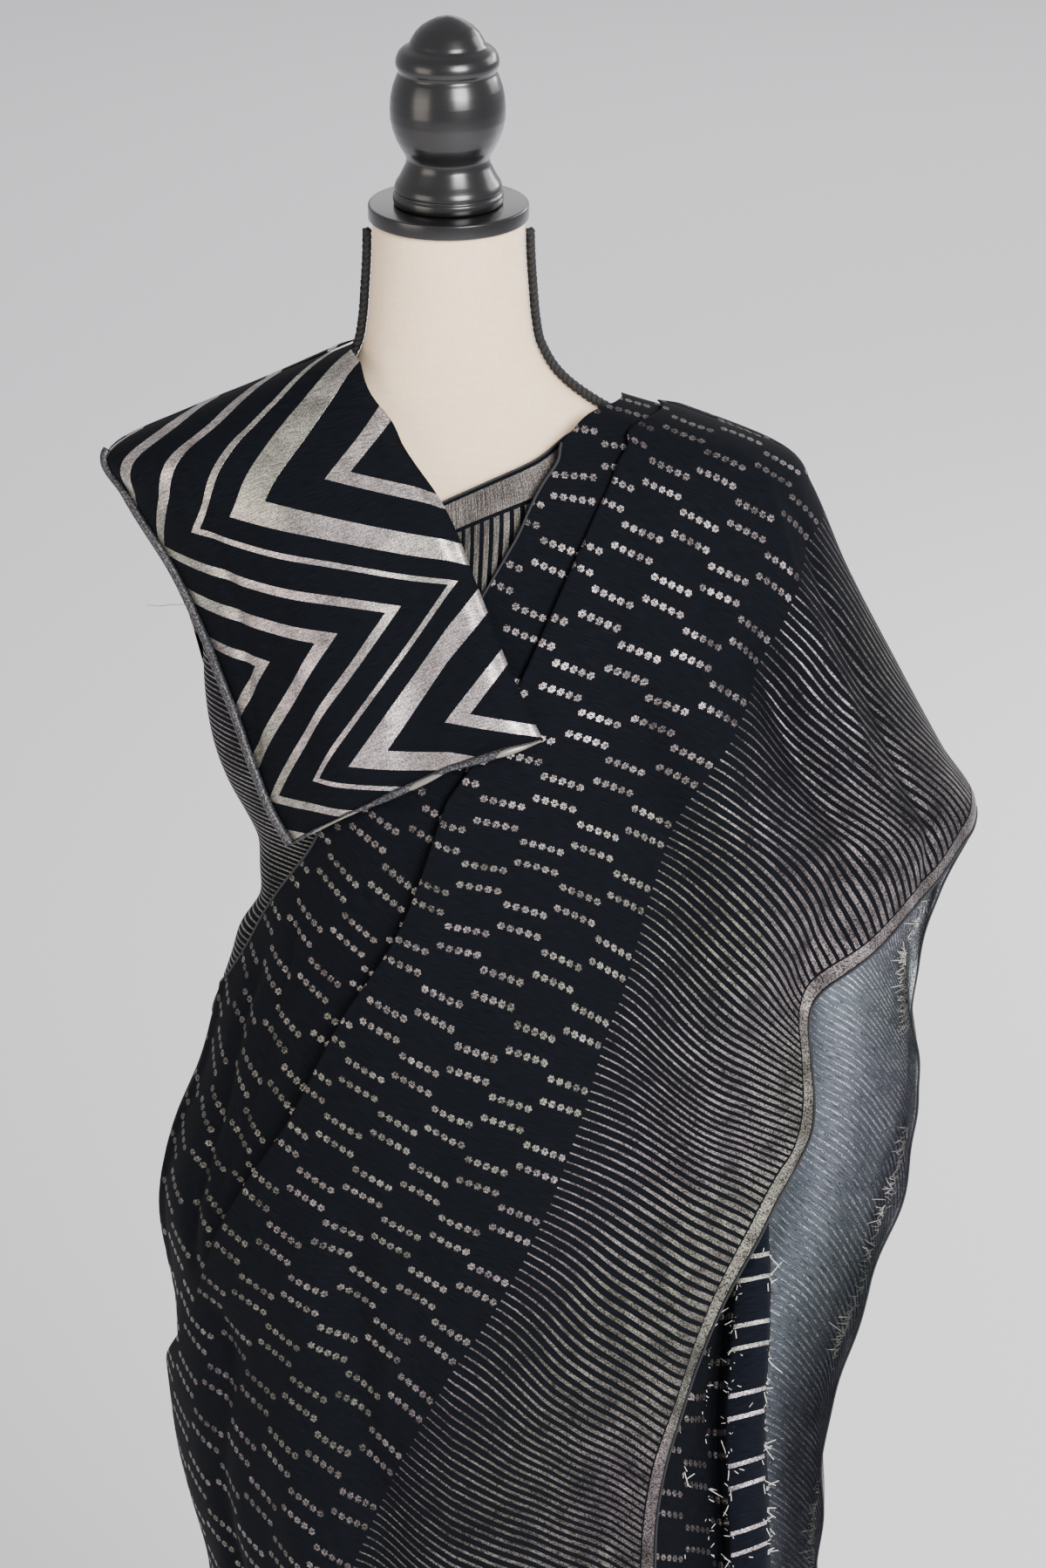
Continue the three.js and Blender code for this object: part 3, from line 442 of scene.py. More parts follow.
LOOSE_FOLD = [  # front, valley, ridge, edge, back
    (0, (37, 905, -3.9), (37.5, 893, -24), (37, 898, -12), (40, 900, -4.5), (43, 890, -30)),
    (120, (31, 775, -3.9), (43, 750, -30), (42.5, 762, -10), (47.5, 768, 0), (56, 740, -38)),
    (260, (28, 632, -3.9), (51.3, 592, -30), (50.3, 600, -10), (57.3, 606, 0), (73, 578, -38)),
    (420, (18, 472, -3.9), (46, 440, -26), (46, 446, -10), (54, 450, 0), (68, 430, -34)),
    (560, (5, 340, -3.9), (40, 312, -20), (41, 316, -10), (50, 320, -2), (62, 305, -24)),
]
NETS = (PALLU, INNER_PLEAT, PALLU_BACK, SHOULDER_FRONT, SHOULDER_BACK, LOOSE_FOLD)
print("rows in each net:", [len(net) for net in NETS])

# %% [markdown]
# Folds. Heavy metallic borders make stiff, straight folds and the plain ground makes soft ones.
# Each is a line from a top to an end with its own depth and width, and a slow wander keeps any
# two from matching. Sculpting gives them too, but not at sizes that can be read and changed.
# %% Fold tables
PALLU_FOLDS = [  # top angle, top height, end angle, end height, depth, width
    (24, 1215, 23, 990, 9, 15), (35, 1190, 32, 900, -6, 20), (23, 950, 24, 640, 8, 16),
    (48, 1230, 47, 1030, 14, 19), (12, 900, 4, 560, -6, 18), (-18, 850, -17, 600, 9, 14),
    (-28, 830, -36, 560, -5, 20), (-52, 760, -60, 480, 8, 18), (-20, 560, -48, 330, 9, 20),
    (-88, 560, -100, 260, 8, 20), (-125, 500, -140, 200, 8, 20), (62, 1330, 58, 1180, -3, 9),
    (68, 1290, 64, 1120, 3.5, 8), (40, 1290, 36, 1130, 2.5, 7), (30, 1330, 12, 1180, 2.5, 8),
    (39, 1000, 36, 760, 4, 9), (31, 880, 30, 620, -3, 8), (2, 1060, -8, 850, 2, 9),
    (-8, 780, -14, 540, 3, 9), (16, 820, 12, 600, 3, 8), (44, 900, 38, 720, -3, 8),
]
PLEAT_FOLDS = [
    (-60, 1000, -62, 850, 5, 14), (-96, 980, -100, 720, 6, 16), (-135, 960, -140, 650, 7, 18),
    (-78, 1010, -84, 800, -2.5, 8), (-48, 1060, -52, 900, 2.5, 8), (-112, 980, -118, 740, 3, 9),
]
BACK_FOLDS = [
    (168, 1180, 174, 350, 7, 22), (148, 1230, 150, 320, -8, 24), (126, 1180, 124, 320, 9, 26),
    (104, 1080, 102, 320, -2, 20), (138, 1290, 136, 700, 3, 12), (158, 1200, 160, 600, 3, 12),
]
SHOULDER_FOLDS = [
    (-30, 1330, -24, 1180, -5, 22), (-8, 1290, -6, 1190, 5, 14), (-48, 1320, -50, 1200, 2, 9),
]
FOLD_FADE = 55  # a fold dies out over this length past each end


def fold_depth(folds, rings, angle, z):
    """Sum of soft troughs: each is a bell across its line, faded at both ends."""
    total = np.zeros_like(angle)
    radius = read(rings, z)
    radius = (radius[..., 1] * np.abs(np.sin(np.radians(angle))) + radius[..., 2]) / 1.5
    for i, (top_angle, top, end_angle, end, depth, width) in enumerate(folds):
        t = np.clip((top - z) / (top - end), 0, 1)
        wander = 0.9 * np.sin(z / 41 + 2.1 * i) + 0.5 * np.sin(z / 23 + i)
        middle = top_angle + (end_angle - top_angle) * t + wander
        uneven = depth * (1 + 0.25 * np.sin(z / 57 + 1.7 * i))
        away = np.radians(angle - middle) * radius / width
        below_top = soft_step(top + FOLD_FADE - z, 0, FOLD_FADE)
        above_end = soft_step(z - end + FOLD_FADE, 0, FOLD_FADE)
        total += uneven * np.exp(-away * away) * below_top * above_end
    return total


def crumple(angle, z):
    """Small irregular ripples, under a millimetre, that every resting cloth keeps."""
    a = np.radians(angle)
    long_ripple = 0.45 * np.sin(9 * a + z / 31) * np.sin(5 * a - z / 53 + 1)
    return long_ripple + 0.3 * np.sin(17 * a - z / 19 + 2) * np.sin(z / 37)


print("folds:", len(PALLU_FOLDS) + len(PLEAT_FOLDS) + len(BACK_FOLDS) + len(SHOULDER_FOLDS))

# %% [markdown]
# Cloth as a thin shell. A saree is under half a millimetre thick, and its edge shows as a line.
# Simulation can settle such a shell, but this drape is known from its outlines, so each net
# becomes a grid of quads, and a Solidify modifier gives the thickness, drawn at 0.9 mm so that it
# shows.
# %% Cloth builders
CLOTH_THICKNESS = 0.9
SHOULDER_FALL = 104  # the warp distance past which the cloth hangs clear of the shoulder


def mesh_object(name, points, faces, material):
    """A smooth mesh of points in millimetres, with one material."""
    mesh = bpy.data.meshes.new(name)
    mesh.from_pydata((points.reshape(-1, 3) * MM).tolist(), [], faces)
    mesh.polygons.foreach_set("use_smooth", np.ones(len(faces), bool))
    mesh.materials.append(material)
    made = bpy.data.objects.new(name, mesh)
    bpy.context.collection.objects.link(made)
    return made


def grid_object(name, points, uv, material, reverse=None, closed=False, flip=False):
    """A mesh of quads over rows and columns of points in millimetres, thickened inward."""
    if flip:
        points, uv = points[:, ::-1], uv[:, ::-1]
    rows, columns = points.shape[0] - 1, points.shape[1] - 1
    across = columns if closed else columns + 1
    r, c = np.meshgrid(np.arange(rows), np.arange(columns), indexing="ij")
    turns = ((0, 0), (1, 0), (1, 1), (0, 1))
    corners = np.stack([np.stack([r + i, c + j], -1) for i, j in turns], 2).reshape(-1, 4, 2)
    faces = corners[..., 0] * across + corners[..., 1] % across
    made = mesh_object(name, points[:, :across], faces.tolist(), material)
    corner_uv = uv[corners[..., 0], corners[..., 1]] * MM
    layer = made.data.uv_layers.new(name="cloth")
    layer.data.foreach_set("uv", corner_uv.astype(np.float32).ravel())
    if reverse:
        made.data.materials.append(reverse)
    wall = made.modifiers.new("cloth thickness", "SOLIDIFY")
    wall.thickness, wall.offset = CLOTH_THICKNESS * MM, -1.0
    wall.material_offset = 1 if reverse else 0
    return made


def net_points(net, columns, rows, folds, crowding=1.5, flutter=0.0, curl=0.0):
    """Points over a net, folded on the drape, with the warp coordinate of each row. flutter waves
    the selvedge, and curl rolls the last edge under."""
    keys = np.array([row[0] for row in net], float)
    values = np.array([row[1:] for row in net], float)
    q = keys[-1] * np.linspace(0, 1, rows + 1) ** crowding
    lines = smooth(keys, values, q).transpose(1, 0, 2)
    u = np.linspace(0, 1, columns + 1)
    angle, z, lift = smooth(np.linspace(0, 1, len(lines)), lines, u).transpose(2, 1, 0)
    ripple = np.sin(q / 21) + 0.6 * np.sin(q / 13.7 + 1)
    wave = flutter * soft_step(u, 0.8, 1)[None] * ripple[:, None]
    calm = soft_step(q, 0, 60)[:, None]
    roll = curl * soft_step(u, 0.93, 1)[None] ** 2
    out = lift - fold_depth(folds, DRAPE, angle, z) + (crumple(angle, z) + wave - roll) * calm
    return lifted(DRAPE, angle, z, out), np.broadcast_to(q[:, None], angle.shape)


def weft_lengths(points):
    """Distance along each row from its first point."""
    steps = np.linalg.norm(np.diff(points, axis=1), axis=2)
    return np.concatenate([np.zeros((len(points), 1)), np.cumsum(steps, axis=1)], 1)


def bordered_uv(points, q, join):
    """Weft coordinate: plain distance inside the join, and scaled to the border's width outside it.
    The warp coordinate is each row's own, and above the shoulder's fall each column's distance."""
    s = weft_lengths(points)
    at = int(round(join * (points.shape[1] - 1)))
    from_join = s - s[:, at : at + 1]
    weft = np.where(from_join > 0, from_join * BORDER["width"] / from_join[:, -1:], from_join)
    down = weft_lengths(points.transpose(1, 0, 2)).T
    fall = int(np.searchsorted(q[:, 0], SHOULDER_FALL))
    warp = np.where(q < q[fall], q[fall] - (down[fall] - down), q)
    return np.stack([weft, warp], -1)


def square_uv(points, column):
    """Weft and warp distances kept square to each other: the reference column's slip along the weft
    moves each row, and only its rise across the weft counts as warp."""
    step = np.diff(points[:, column], axis=0)
    weft = points[:-1, column + 3] - points[:-1, column - 3]
    weft /= np.linalg.norm(weft, axis=1, keepdims=True)
    slip = (step * weft).sum(1)
    rise = np.linalg.norm(step - slip[:, None] * weft, axis=1)
    s = weft_lengths(points)
    moved = s - s[:, column : column + 1] + np.concatenate([[0], np.cumsum(slip)])[:, None]
    return np.stack([moved, np.concatenate([[0], np.cumsum(rise)])[:, None] + 0 * s], -1)


def declare_cloth(made, node_name, points):
    """Rides on the root, hides its solid, and works out the stretch's longest run along the warp in
    metres."""
    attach(made, "root")
    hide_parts(node_name)
    length = weft_lengths(points.transpose(1, 0, 2))[:, -1].max() / 1000


print("cloth builders ready")

# %% [markdown]
# The free end in front. It rises from the hip to the shoulder with its border outward, and a
# layer of the same cloth shows inside its folded edge. One mesh with a hard fold could be both.
# Two nets keep the weave square to each edge.
# %% The stretch over the chest and hip
pallu_points, pallu_q = net_points(PALLU, 150, 260, PALLU_FOLDS, 1.25, flutter=1.6)
pallu_uv = bordered_uv(pallu_points, pallu_q, 0.5)
pallu_front = grid_object("pallu_front_cloth", pallu_points, pallu_uv, SPOTTED, DARK_REVERSE)
declare_cloth(pallu_front, "pallu_front", pallu_points)

inner_points = net_points(INNER_PLEAT, 60, 200, PLEAT_FOLDS, 1.25)[0]
inner_uv = square_uv(inner_points, 18) - np.array([500, 0])
inner_pleat = grid_object("inner_pleat_cloth", inner_points, inner_uv, SPOTTED, DARK_REVERSE)
declare_cloth(inner_pleat, "pallu_inner_pleat", inner_points)

# %% [markdown]
# The free end behind. Past the shoulder the cloth falls straight and shows its reverse from the
# front, and a turned-out fold hangs between the two falls. A mirrored copy of the front would
# hang too alike, so each has rows of its own.
# %% The loose end down the back, and the fold inside it
back_points, back_q = net_points(PALLU_BACK, 110, 200, BACK_FOLDS, 1.25, flutter=1.6)
back_uv = bordered_uv(back_points, back_q, 2 / 3)
pallu_back = grid_object("pallu_back_cloth", back_points, back_uv, SPOTTED, BACKLIT_REVERSE, flip=True)
declare_cloth(pallu_back, "pallu_back", back_points)

loose_points, loose_q = net_points(LOOSE_FOLD, 72, 160, PALLU_FOLDS, 1.0)
RIDGE = 36  # the column along the ridge
TURNED = 6.1 * SPOT["group"]  # from here out the fold shows its reverse
from_ridge = weft_lengths(loose_points) - weft_lengths(loose_points)[:, [RIDGE]]
loose_uv = np.stack([from_ridge - 6 * SPOT["group"] + 2, loose_q], -1)
loose_fold = grid_object("loose_fold_cloth", loose_points, loose_uv, SPOTTED, DARK_REVERSE)
in_sight = loose_uv[:-1, :-1, 0].ravel() > -TURNED
loose_fold.data.polygons.foreach_set("material_index", in_sight.astype(np.int32))
declare_cloth(loose_fold, "loose_fold", loose_points)

# %% [markdown]
# The folded end. The cloth's other end lies folded flat over the shoulder, with broad zigzags on
# it. Its two falls share one crest, and both patterns start from that line, so that they meet on
# it.
# %% The folded end over the other shoulder
THIN_STRIPE = (49.6, 71.0)  # weft and warp distance of the thin stripe's outer corner
front_points, front_q = net_points(SHOULDER_FRONT, 90, 110, SHOULDER_FOLDS, 1.25, curl=5.0)
front_uv = np.stack([weft_lengths(front_points) - THIN_STRIPE[0], THIN_STRIPE[1] - front_q], -1)
shoulder_front = grid_object(
    "shoulder_front_cloth", front_points, front_uv, ZIGZAGGED, DARK_REVERSE
)
declare_cloth(shoulder_front, "shoulder_front", front_points)
rear_points, rear_q = net_points(SHOULDER_BACK, 80, 80, [], 1.25)
rear_uv = np.stack([weft_lengths(rear_points) - THIN_STRIPE[0], THIN_STRIPE[1] + rear_q], -1)
shoulder_back = grid_object(
    "shoulder_back_cloth", rear_points, rear_uv, ZIGZAGGED, DARK_REVERSE, flip=True
)
declare_cloth(shoulder_back, "shoulder_back", rear_points)

# %% [markdown]
# The wrap round the chest. It is stretched flat on the form, so it follows the form's own rings a
# few millimetres out. A flat sheet pressed on by a Shrinkwrap would pucker under the arm; rings
# can't.
# %% The wrap round the chest
CHEST_BOTTOM = 1005
CHEST_CLEARANCE = 6.2  # how far the wrap lies outside the linen
CHEST_FRONT_TOP = [(-32, 1290), (-18, 1313), (-2.8, 1340), (20, 1365), (44, 1381), (64, 1350)]
CHEST_SIDE_TOP = [(-296, 1290), (-270, 1240), (-180, 1226), (-100, 1236), (-60, 1250), (-33, 1290)]

# height, and how far the wrap stands off the form under the arm
UNDERARM = [
    (983, 27), (1005, 26), (1031, 23), (1055, 13), (1080, 12), (1103, 9), (1150, 15), (1211, 14),
    (1260, 5),
]


def chest_points(top, start, end, columns, rows):
    """A wrap on the linen body, pushed out under the arm and at the waist."""
    angle, v = np.meshgrid(np.linspace(start, end, columns + 1), np.linspace(0, 1, rows + 1))
    high = read(top, angle)[..., 0]
    arm = np.exp(-(((angle + 88) / 28) ** 2))
    z = high + (CHEST_BOTTOM - 20 * arm - high) * v**1.3
    waist = 5 * soft_step(1090 - z, 0, 70)
    side = read(UNDERARM, z)[..., 0] * arm
    shelf = 1.5 * soft_step(z, 1320, 1350)
    return lifted(BODY, angle, z, CHEST_CLEARANCE + waist + side + shelf + crumple(angle, z))


neck_points = chest_points(CHEST_FRONT_TOP, -32, 64, 110, 110)
neck_along = weft_lengths(neck_points)
neck_down = weft_lengths(neck_points.transpose(1, 0, 2)).T
neck_uv = np.stack([BORDER["width"] - neck_down * 0.56, neck_along[:1] + 0 * neck_down], -1)
chest_front = grid_object("chest_front_cloth", neck_points, neck_uv, NECKLINE)
declare_cloth(chest_front, "chest_front", neck_points)
FINER = 1.6  # this stretch's stripes are closer than the border's
side_points = chest_points(CHEST_SIDE_TOP, -295.4, -32.6, 220, 70)
side_uv = np.stack([60 + 0 * side_points[..., 0], side_points[..., 2] * FINER], -1)
chest_wrap = grid_object("chest_wrap_cloth", side_points, side_uv, STRIPED)
declare_cloth(chest_wrap, "chest_wrap", side_points)

# %% [markdown]
# The skirt. One turn of cloth goes round the hips and opens in gathers, and six tucked pleats lie
# at the front. Both are waves on a ring: a cosine for the gathers, and a leaning one for the
# pleats.
# %% The skirt and its tucked pleats
GATHERS = 13
SKIRT_TOP, HEM = 1012, 30


def skirt_lift(angle, z):
    """Gathers that open from the hip down, each a little unlike the next."""
    grow = soft_step(860 - z, 0, 700)
    a = np.radians(angle)
    return grow * (4.2 * np.cos(GATHERS * a + 0.25 * np.sin(3 * a)) + 1.4 * np.sin(5 * a + z / 190))


skirt_angle, skirt_z = np.meshgrid(np.linspace(0, 360, 261), np.linspace(SKIRT_TOP, HEM, 111))
skirt_out = skirt_lift(skirt_angle, skirt_z) + 0.4 * crumple(skirt_angle, skirt_z)
skirt_points = lifted(SKIRT, skirt_angle, skirt_z, skirt_out)
skirt_along = weft_lengths(skirt_points)[50:51] + 0 * skirt_z
skirt_uv = np.stack([BORDER["width"] - (skirt_z - HEM), skirt_along], -1)
skirt = grid_object("skirt_cloth", skirt_points, skirt_uv, SPOTTED, DARK_REVERSE, closed=True)
declare_cloth(skirt, "skirt_wrap", skirt_points)

PLEATS = {"count": 6, "pitch": 24, "depth": 8.05, "roll": 3.4, "top": 985, "middle": -4}
pleat_rows = np.linspace(PLEATS["top"], HEM, 111)
turn, pleat_z = np.meshgrid(np.linspace(0, PLEATS["count"], 241), pleat_rows)
fall = (PLEATS["top"] - pleat_z) / (PLEATS["top"] - HEM)
lean = PLEATS["roll"] * np.sin(2 * np.pi * turn) + 1.2 * np.sin(2.3 * turn + pleat_z / 130)
pleat_x = ((turn - PLEATS["count"] / 2) * PLEATS["pitch"] + lean) * (0.62 + 0.63 * fall)
side_reach = read(SKIRT, pleat_z)[..., 1]
pleat_angle = PLEATS["middle"] + np.degrees(np.arcsin(pleat_x / side_reach))
clear = PLEATS["depth"] + 2.2 + 10 * soft_step(860 - pleat_z, 0, 700)
uneven = 1 + 0.12 * np.sin(1.9 * turn + 1)
pleat_out = clear + PLEATS["depth"] * uneven * np.cos(2 * np.pi * turn) - 1
pleat_points = lifted(SKIRT, pleat_angle, pleat_z, pleat_out)
pleat_along = weft_lengths(pleat_points)[55:56] + 0 * pleat_z
pleat_uv = np.stack([BORDER["width"] - (pleat_z - HEM), pleat_along], -1)
pleats = grid_object("pleat_cloth", pleat_points, pleat_uv, SPOTTED, DARK_REVERSE)
declare_cloth(pleats, "skirt_pleats", pleat_points)

# %% [markdown]
# The dress form. A pinned linen cover is stretched smooth over a padded shell, so only the weave
# and its thicker slub threads break the surface. Modelling every thread is wasted; a bump carries
# them.
# %% Linen body
def linen_inputs(tree):
    """Plain weave from two crossed waves, with slubs from a noise drawn out along the weft."""
    place = node(tree, "ShaderNodeTexCoord", output=3)
    weft = node(tree, "ShaderNodeMapping", {"Vector": place, "Scale": (60.0, 60.0, 900.0)})
    warp = node(tree, "ShaderNodeMapping", {"Vector": place, "Scale": (900.0, 900.0, 60.0)})
    slub = node(tree, "ShaderNodeTexNoise", {"Vector": weft, "Scale": 1.0, "Detail": 2.0})
    thread = node(tree, "ShaderNodeTexNoise", {"Vector": warp, "Scale": 1.0, "Detail": 2.0})
    both = node(tree, "ShaderNodeMath", [slub, thread], operation="ADD")
    tone = node(tree, "ShaderNodeMapRange", [both, 0.7, 1.3, 0.0, 1.0])
    yarns = {0: tone, 6: linear("fbd8b2"), 7: linear("ffe9c8")}
    colour = node(tree, "ShaderNodeMix", yarns, 2, data_type="RGBA")
    bump = node(tree, "ShaderNodeBump", {"Height": both, "Strength": 0.25, "Distance": 0.0004})
    return {
        "Base Color": colour,
        "Roughness": 0.92,
        "Normal": bump,
        "Sheen Weight": 0.15,
        "Specular IOR Level": 0.2,
    }


# undyed linen cover
LINEN = new_material("undyed slubbed linen", linen_inputs)
# satin black lacquer on turned wood
BLACK_WOOD = new_material(
    "satin black lacquered wood",
    lambda tree: {
        "Base Color": linear("0f0f10"), "Roughness": 0.27, "Coat Weight": 0.3, "Coat Roughness": 0.2
    },
)
# matt black braid
BRAID = new_material(
    "black braided cord", lambda tree: {"Base Color": linear("141416"), "Roughness": 0.75}
)
# dark thread that oversews the selvedges
DARK_THREAD = new_material(
    "dark selvedge thread", lambda tree: {"Base Color": linear("15171c"), "Roughness": 0.7}
)
# cut ends of the silver weft
SILVER_THREAD = new_material(
    "cut silver weft ends",
    lambda tree: {"Base Color": linear("f0ede4"), "Metallic": 0.1, "Roughness": 0.5},
)


def rings_object(name, stacks, material, nodes=()):
    """Stacks of rings as one mesh that rides on the root, each stack capped at both ends."""
    faces, start = [], 0
    for rings in stacks:
        index = start + np.arange(rings.shape[0] * rings.shape[1]).reshape(rings.shape[:2])
        beside = np.roll(index, -1, 1)
        quads = np.stack([index[:-1], beside[:-1], beside[1:], index[1:]], -1).reshape(-1, 4)
        faces += quads.tolist() + [index[0, ::-1].tolist(), index[-1].tolist()]
        start += index.size
    points = np.concatenate([rings.reshape(-1, 3) for rings in stacks])
    made = mesh_object(name, points, faces, material)
    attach(made, "root")
    if nodes:
        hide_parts(*nodes)
    print(name, len(stacks), "swept,", len(faces), "faces")
    return made


# height, slope of the ring from front to back, and its shift
NECK_LEAN = [
    (745, 0, 0), (1392, 0, 0), (1412, 0.02, 0), (1434, 0.05, -2), (1452, 0.065, -4),
    (1474, 0.08, -6), (1497, 0.1, -8), (1520, 0.1157, -10),
]
body_angle, body_z = np.meshgrid(np.linspace(0, 360, 121)[:-1], np.linspace(745, 1520, 200))
body_points = ring_point(BODY, body_angle, body_z)
shift = read(NECK_LEAN, body_z)
body_points[..., 2] += body_points[..., 1] * shift[..., 0]
body_points[..., 1] += shift[..., 1]
form_cover = rings_object("form_cover", [body_points], LINEN, ["form_body"])
print("form body", form_cover.dimensions[:])

# %% [markdown]
# Turned wood. The finial, disc, pole and base come off a lathe, so each is a profile carried
# round an axis. A Screw modifier does the same; rings worked out here can also lean with the
# neck.
# %% Turned finial, disc, pole and base
FINIAL = [
    (0.5, 0), (34.6, 0), (35.4, 0.7), (35.8, 3), (35.6, 6.5), (34.4, 7.8), (34.9, 10.5),
    (33.9, 13.5), (31.4, 17.5), (29.4, 21.5), (27.3, 26), (26.9, 30), (28.4, 33.5), (30.6, 37),
    (33.4, 42.5), (35.6, 49), (37, 56), (37.2, 63), (36.6, 70), (35.2, 76.5), (32.8, 83),
    (31.2, 86), (31.6, 87.4), (32.8, 89.5), (33.3, 92), (32.9, 95), (31.4, 98.4), (29.2, 100.6),
    (25.4, 102.6), (24.6, 103.6), (23.6, 106), (20.6, 111), (17, 114.8), (12, 118), (7.6, 120.2),
    (3.6, 121.5), (0.5, 121.9),
]
DISC = [(0.5, 0), (51, 0), (51.8, 0.5), (52, 1.2), (52, 8.8), (51.7, 9.6), (50.6, 10), (0.5, 10)]
BASE = [
    (0.5, 0), (184, 0), (184.8, 0.4), (185, 1), (185, 11), (184.5, 12.4), (178, 16), (48, 20),
    (0.5, 20),
]
POLE_TOP = 724.4
POLE = [
    (0.5, 0), (34, 0), (34, 13), (33, 14.6), (20, 26), (16.6, 36), (16, 42), (16, POLE_TOP - 13),
    (37, POLE_TOP - 9), (38, POLE_TOP - 7.5), (38, POLE_TOP), (0.5, POLE_TOP),
]
LATHE_SIDES = 96


def turned(profile, centre, tilt):
    """Radius and height swept round an axis at centre, tilted forward by tilt degrees. Each
    profile corner is doubled closely, so smooth shading keeps its crisp edges."""
    profile = np.array(profile, float)
    steps = []
    for a, b in zip(profile[:-1], profile[1:]):
        length = max(np.linalg.norm(b - a), 1e-6)
        ease = min(0.35 / length, 0.45)
        steps += [a + (b - a) * ease, (a + b) / 2, b + (a - b) * ease]
    ring = np.array([profile[0], *steps, profile[-1]])
    angle = np.linspace(0, 2 * np.pi, LATHE_SIDES, endpoint=False)
    x = ring[:, :1] * np.cos(angle)
    y = ring[:, :1] * np.sin(angle)
    z = ring[:, 1:] + 0 * x
    c, s = math.cos(math.radians(tilt)), math.sin(math.radians(tilt))
    return np.stack([x, y * c - z * s, y * s + z * c], -1) + np.array(centre)


LEAN = 6.6  # degrees that the neck leans forward
for name, profile, centre, tilt, node_name in (
    ("disc_turned", DISC, (0, -10.03, 1520.3), LEAN, "neck_disc"),
    ("finial_turned", FINIAL, (0, -11.2, 1530.5), LEAN, "finial"),
    ("base_turned", BASE, (0, 0, 0), 0, "stand_base"),
    ("pole_turned", POLE, (0, 0, 20.3), 0, "stand_pole"),
):
    rings_object(name, [turned(profile, centre, tilt)], BLACK_WOOD, [node_name])

# %% [markdown]
# Braid and thread. The neck seams carry a three-strand braid, the selvedges a dark oversewn edge,
# and the reverse keeps the clipped ends of its silver weft. Swept tubes make all three.
# %% Swept tubes
def tube_points(path, radius, sides=6):
    """Rings round a path, in a frame carried from the path's own direction."""
    path = np.asarray(path, float)
    forward = np.gradient(path, axis=0)
    forward /= np.linalg.norm(forward, axis=1, keepdims=True) + 1e-9
    side = np.cross(forward, (0.31, -0.52, 0.79))
    side /= np.linalg.norm(side, axis=1, keepdims=True) + 1e-9
    up = np.cross(side, forward)
    a = np.linspace(0, 2 * np.pi, sides, endpoint=False)
    r = np.broadcast_to(np.asarray(radius, float), len(path))[:, None, None]
    turn = side[:, None] * np.cos(a)[None, :, None] + up[:, None] * np.sin(a)[None, :, None]
    return path[:, None] + r * turn


def tubes_object(name, paths, radius, material, nodes=(), sides=6):
    """Many swept tubes as one mesh."""
    tubes = [tube_points(path, radius, sides) for path in paths]
    return rings_object(name, tubes, material, nodes)


def resample(path, step):
    """Points every step millimetres along a path."""
    path = np.asarray(path, float)
    s = np.concatenate([[0], np.cumsum(np.linalg.norm(np.diff(path, axis=0), axis=1))])
    at = np.arange(0, s[-1], step)
    return np.stack([np.interp(at, s, path[:, i]) for i in range(3)], -1)


BRAID_STRANDS, BRAID_RADIUS, BRAID_REACH, BRAID_LAY, BRAID_STEP = 3, 2.1, 2.1, 12.0, 0.7
for side, name, node_name in (
    (-1, "braid_right", "piping_right"),
    (1, "braid_left", "piping_left"),
):
    heights = np.linspace(1512, 1385, 60)
    seam = lifted(BODY, side * 90 + 0 * heights, heights, 3.6 + 0 * heights)
    seam[:, 1] = read(NECK_LEAN, heights)[:, 1]
    seam = resample(seam, BRAID_STEP)
    s = np.arange(len(seam)) * BRAID_STEP
    out = np.cross(np.gradient(seam, axis=0), (0, 1, 0))
    out /= np.linalg.norm(out, axis=1, keepdims=True)
    strands = []
    for k in range(BRAID_STRANDS):
        phase = 2 * np.pi * (s / BRAID_LAY + k / BRAID_STRANDS)
        sway = np.sin(phase)[:, None] * (0, 1, 0) + 0.56 * np.sin(2 * phase)[:, None] * out
        strands.append(seam + BRAID_REACH * sway)
    tubes_object(name, strands, BRAID_RADIUS, BRAID, [node_name], sides=8)

# %% [markdown]
# Edges and ends. Dark thread oversews the selvedges, and on the reverse the silver weft is
# clipped where each figure stops. Hair could make the ends, but short tubes stay in place and
# export as a mesh.
# %% Selvedge edges and cut weft ends
rng = np.random.default_rng(7)
edges = (pallu_points[:, -1], back_points[:, -1], inner_points[12:, 0], neck_points[0])
selvedges = [resample(edge, 3) for edge in edges]
tubes_object("selvedge_edges", selvedges, 0.9, DARK_THREAD)


def tuft(points, r, c, length, side):
    """One short bent end that stands off a stretch at a grid place."""
    base = points[r, c]
    normal = np.cross(points[r + 1, c] - points[r - 1, c], points[r, c + 1] - points[r, c - 1])
    normal *= side / (np.linalg.norm(normal) + 1e-9)
    along = points[r + 1, c] - points[r - 1, c]
    along /= np.linalg.norm(along) + 1e-9
    t = np.linspace(0, 1, 5)[:, None]
    size = length * rng.uniform(0.4, 1.3)
    drift = rng.normal(0, 0.55, 3)
    out = normal * (0.3 + t * size * 0.5)
    return base + out + along * t * size * rng.uniform(-0.4, 0.9) + drift * t**2 * size


# a ragged, clustered line of ends beside the back stretch's selvedge
rows, columns = back_points.shape[:2]
row_widths = weft_lengths(back_points)[:, -1]
ends = []
clusters = np.sort(rng.uniform(30, rows - 12, 26))
for cluster in clusters:
    for r in np.clip(rng.normal(cluster, 2.2, 26), 8, rows - 3).astype(int):
        from_edge = 36 + rng.normal(0, 2.0) + 3.0 * math.sin(cluster / 9)
        c = int(np.clip((1 - from_edge / row_widths[r]) * (columns - 1), 1, columns - 2))
        ends.append(tuft(back_points, int(r), c, 5.0, 1.0))

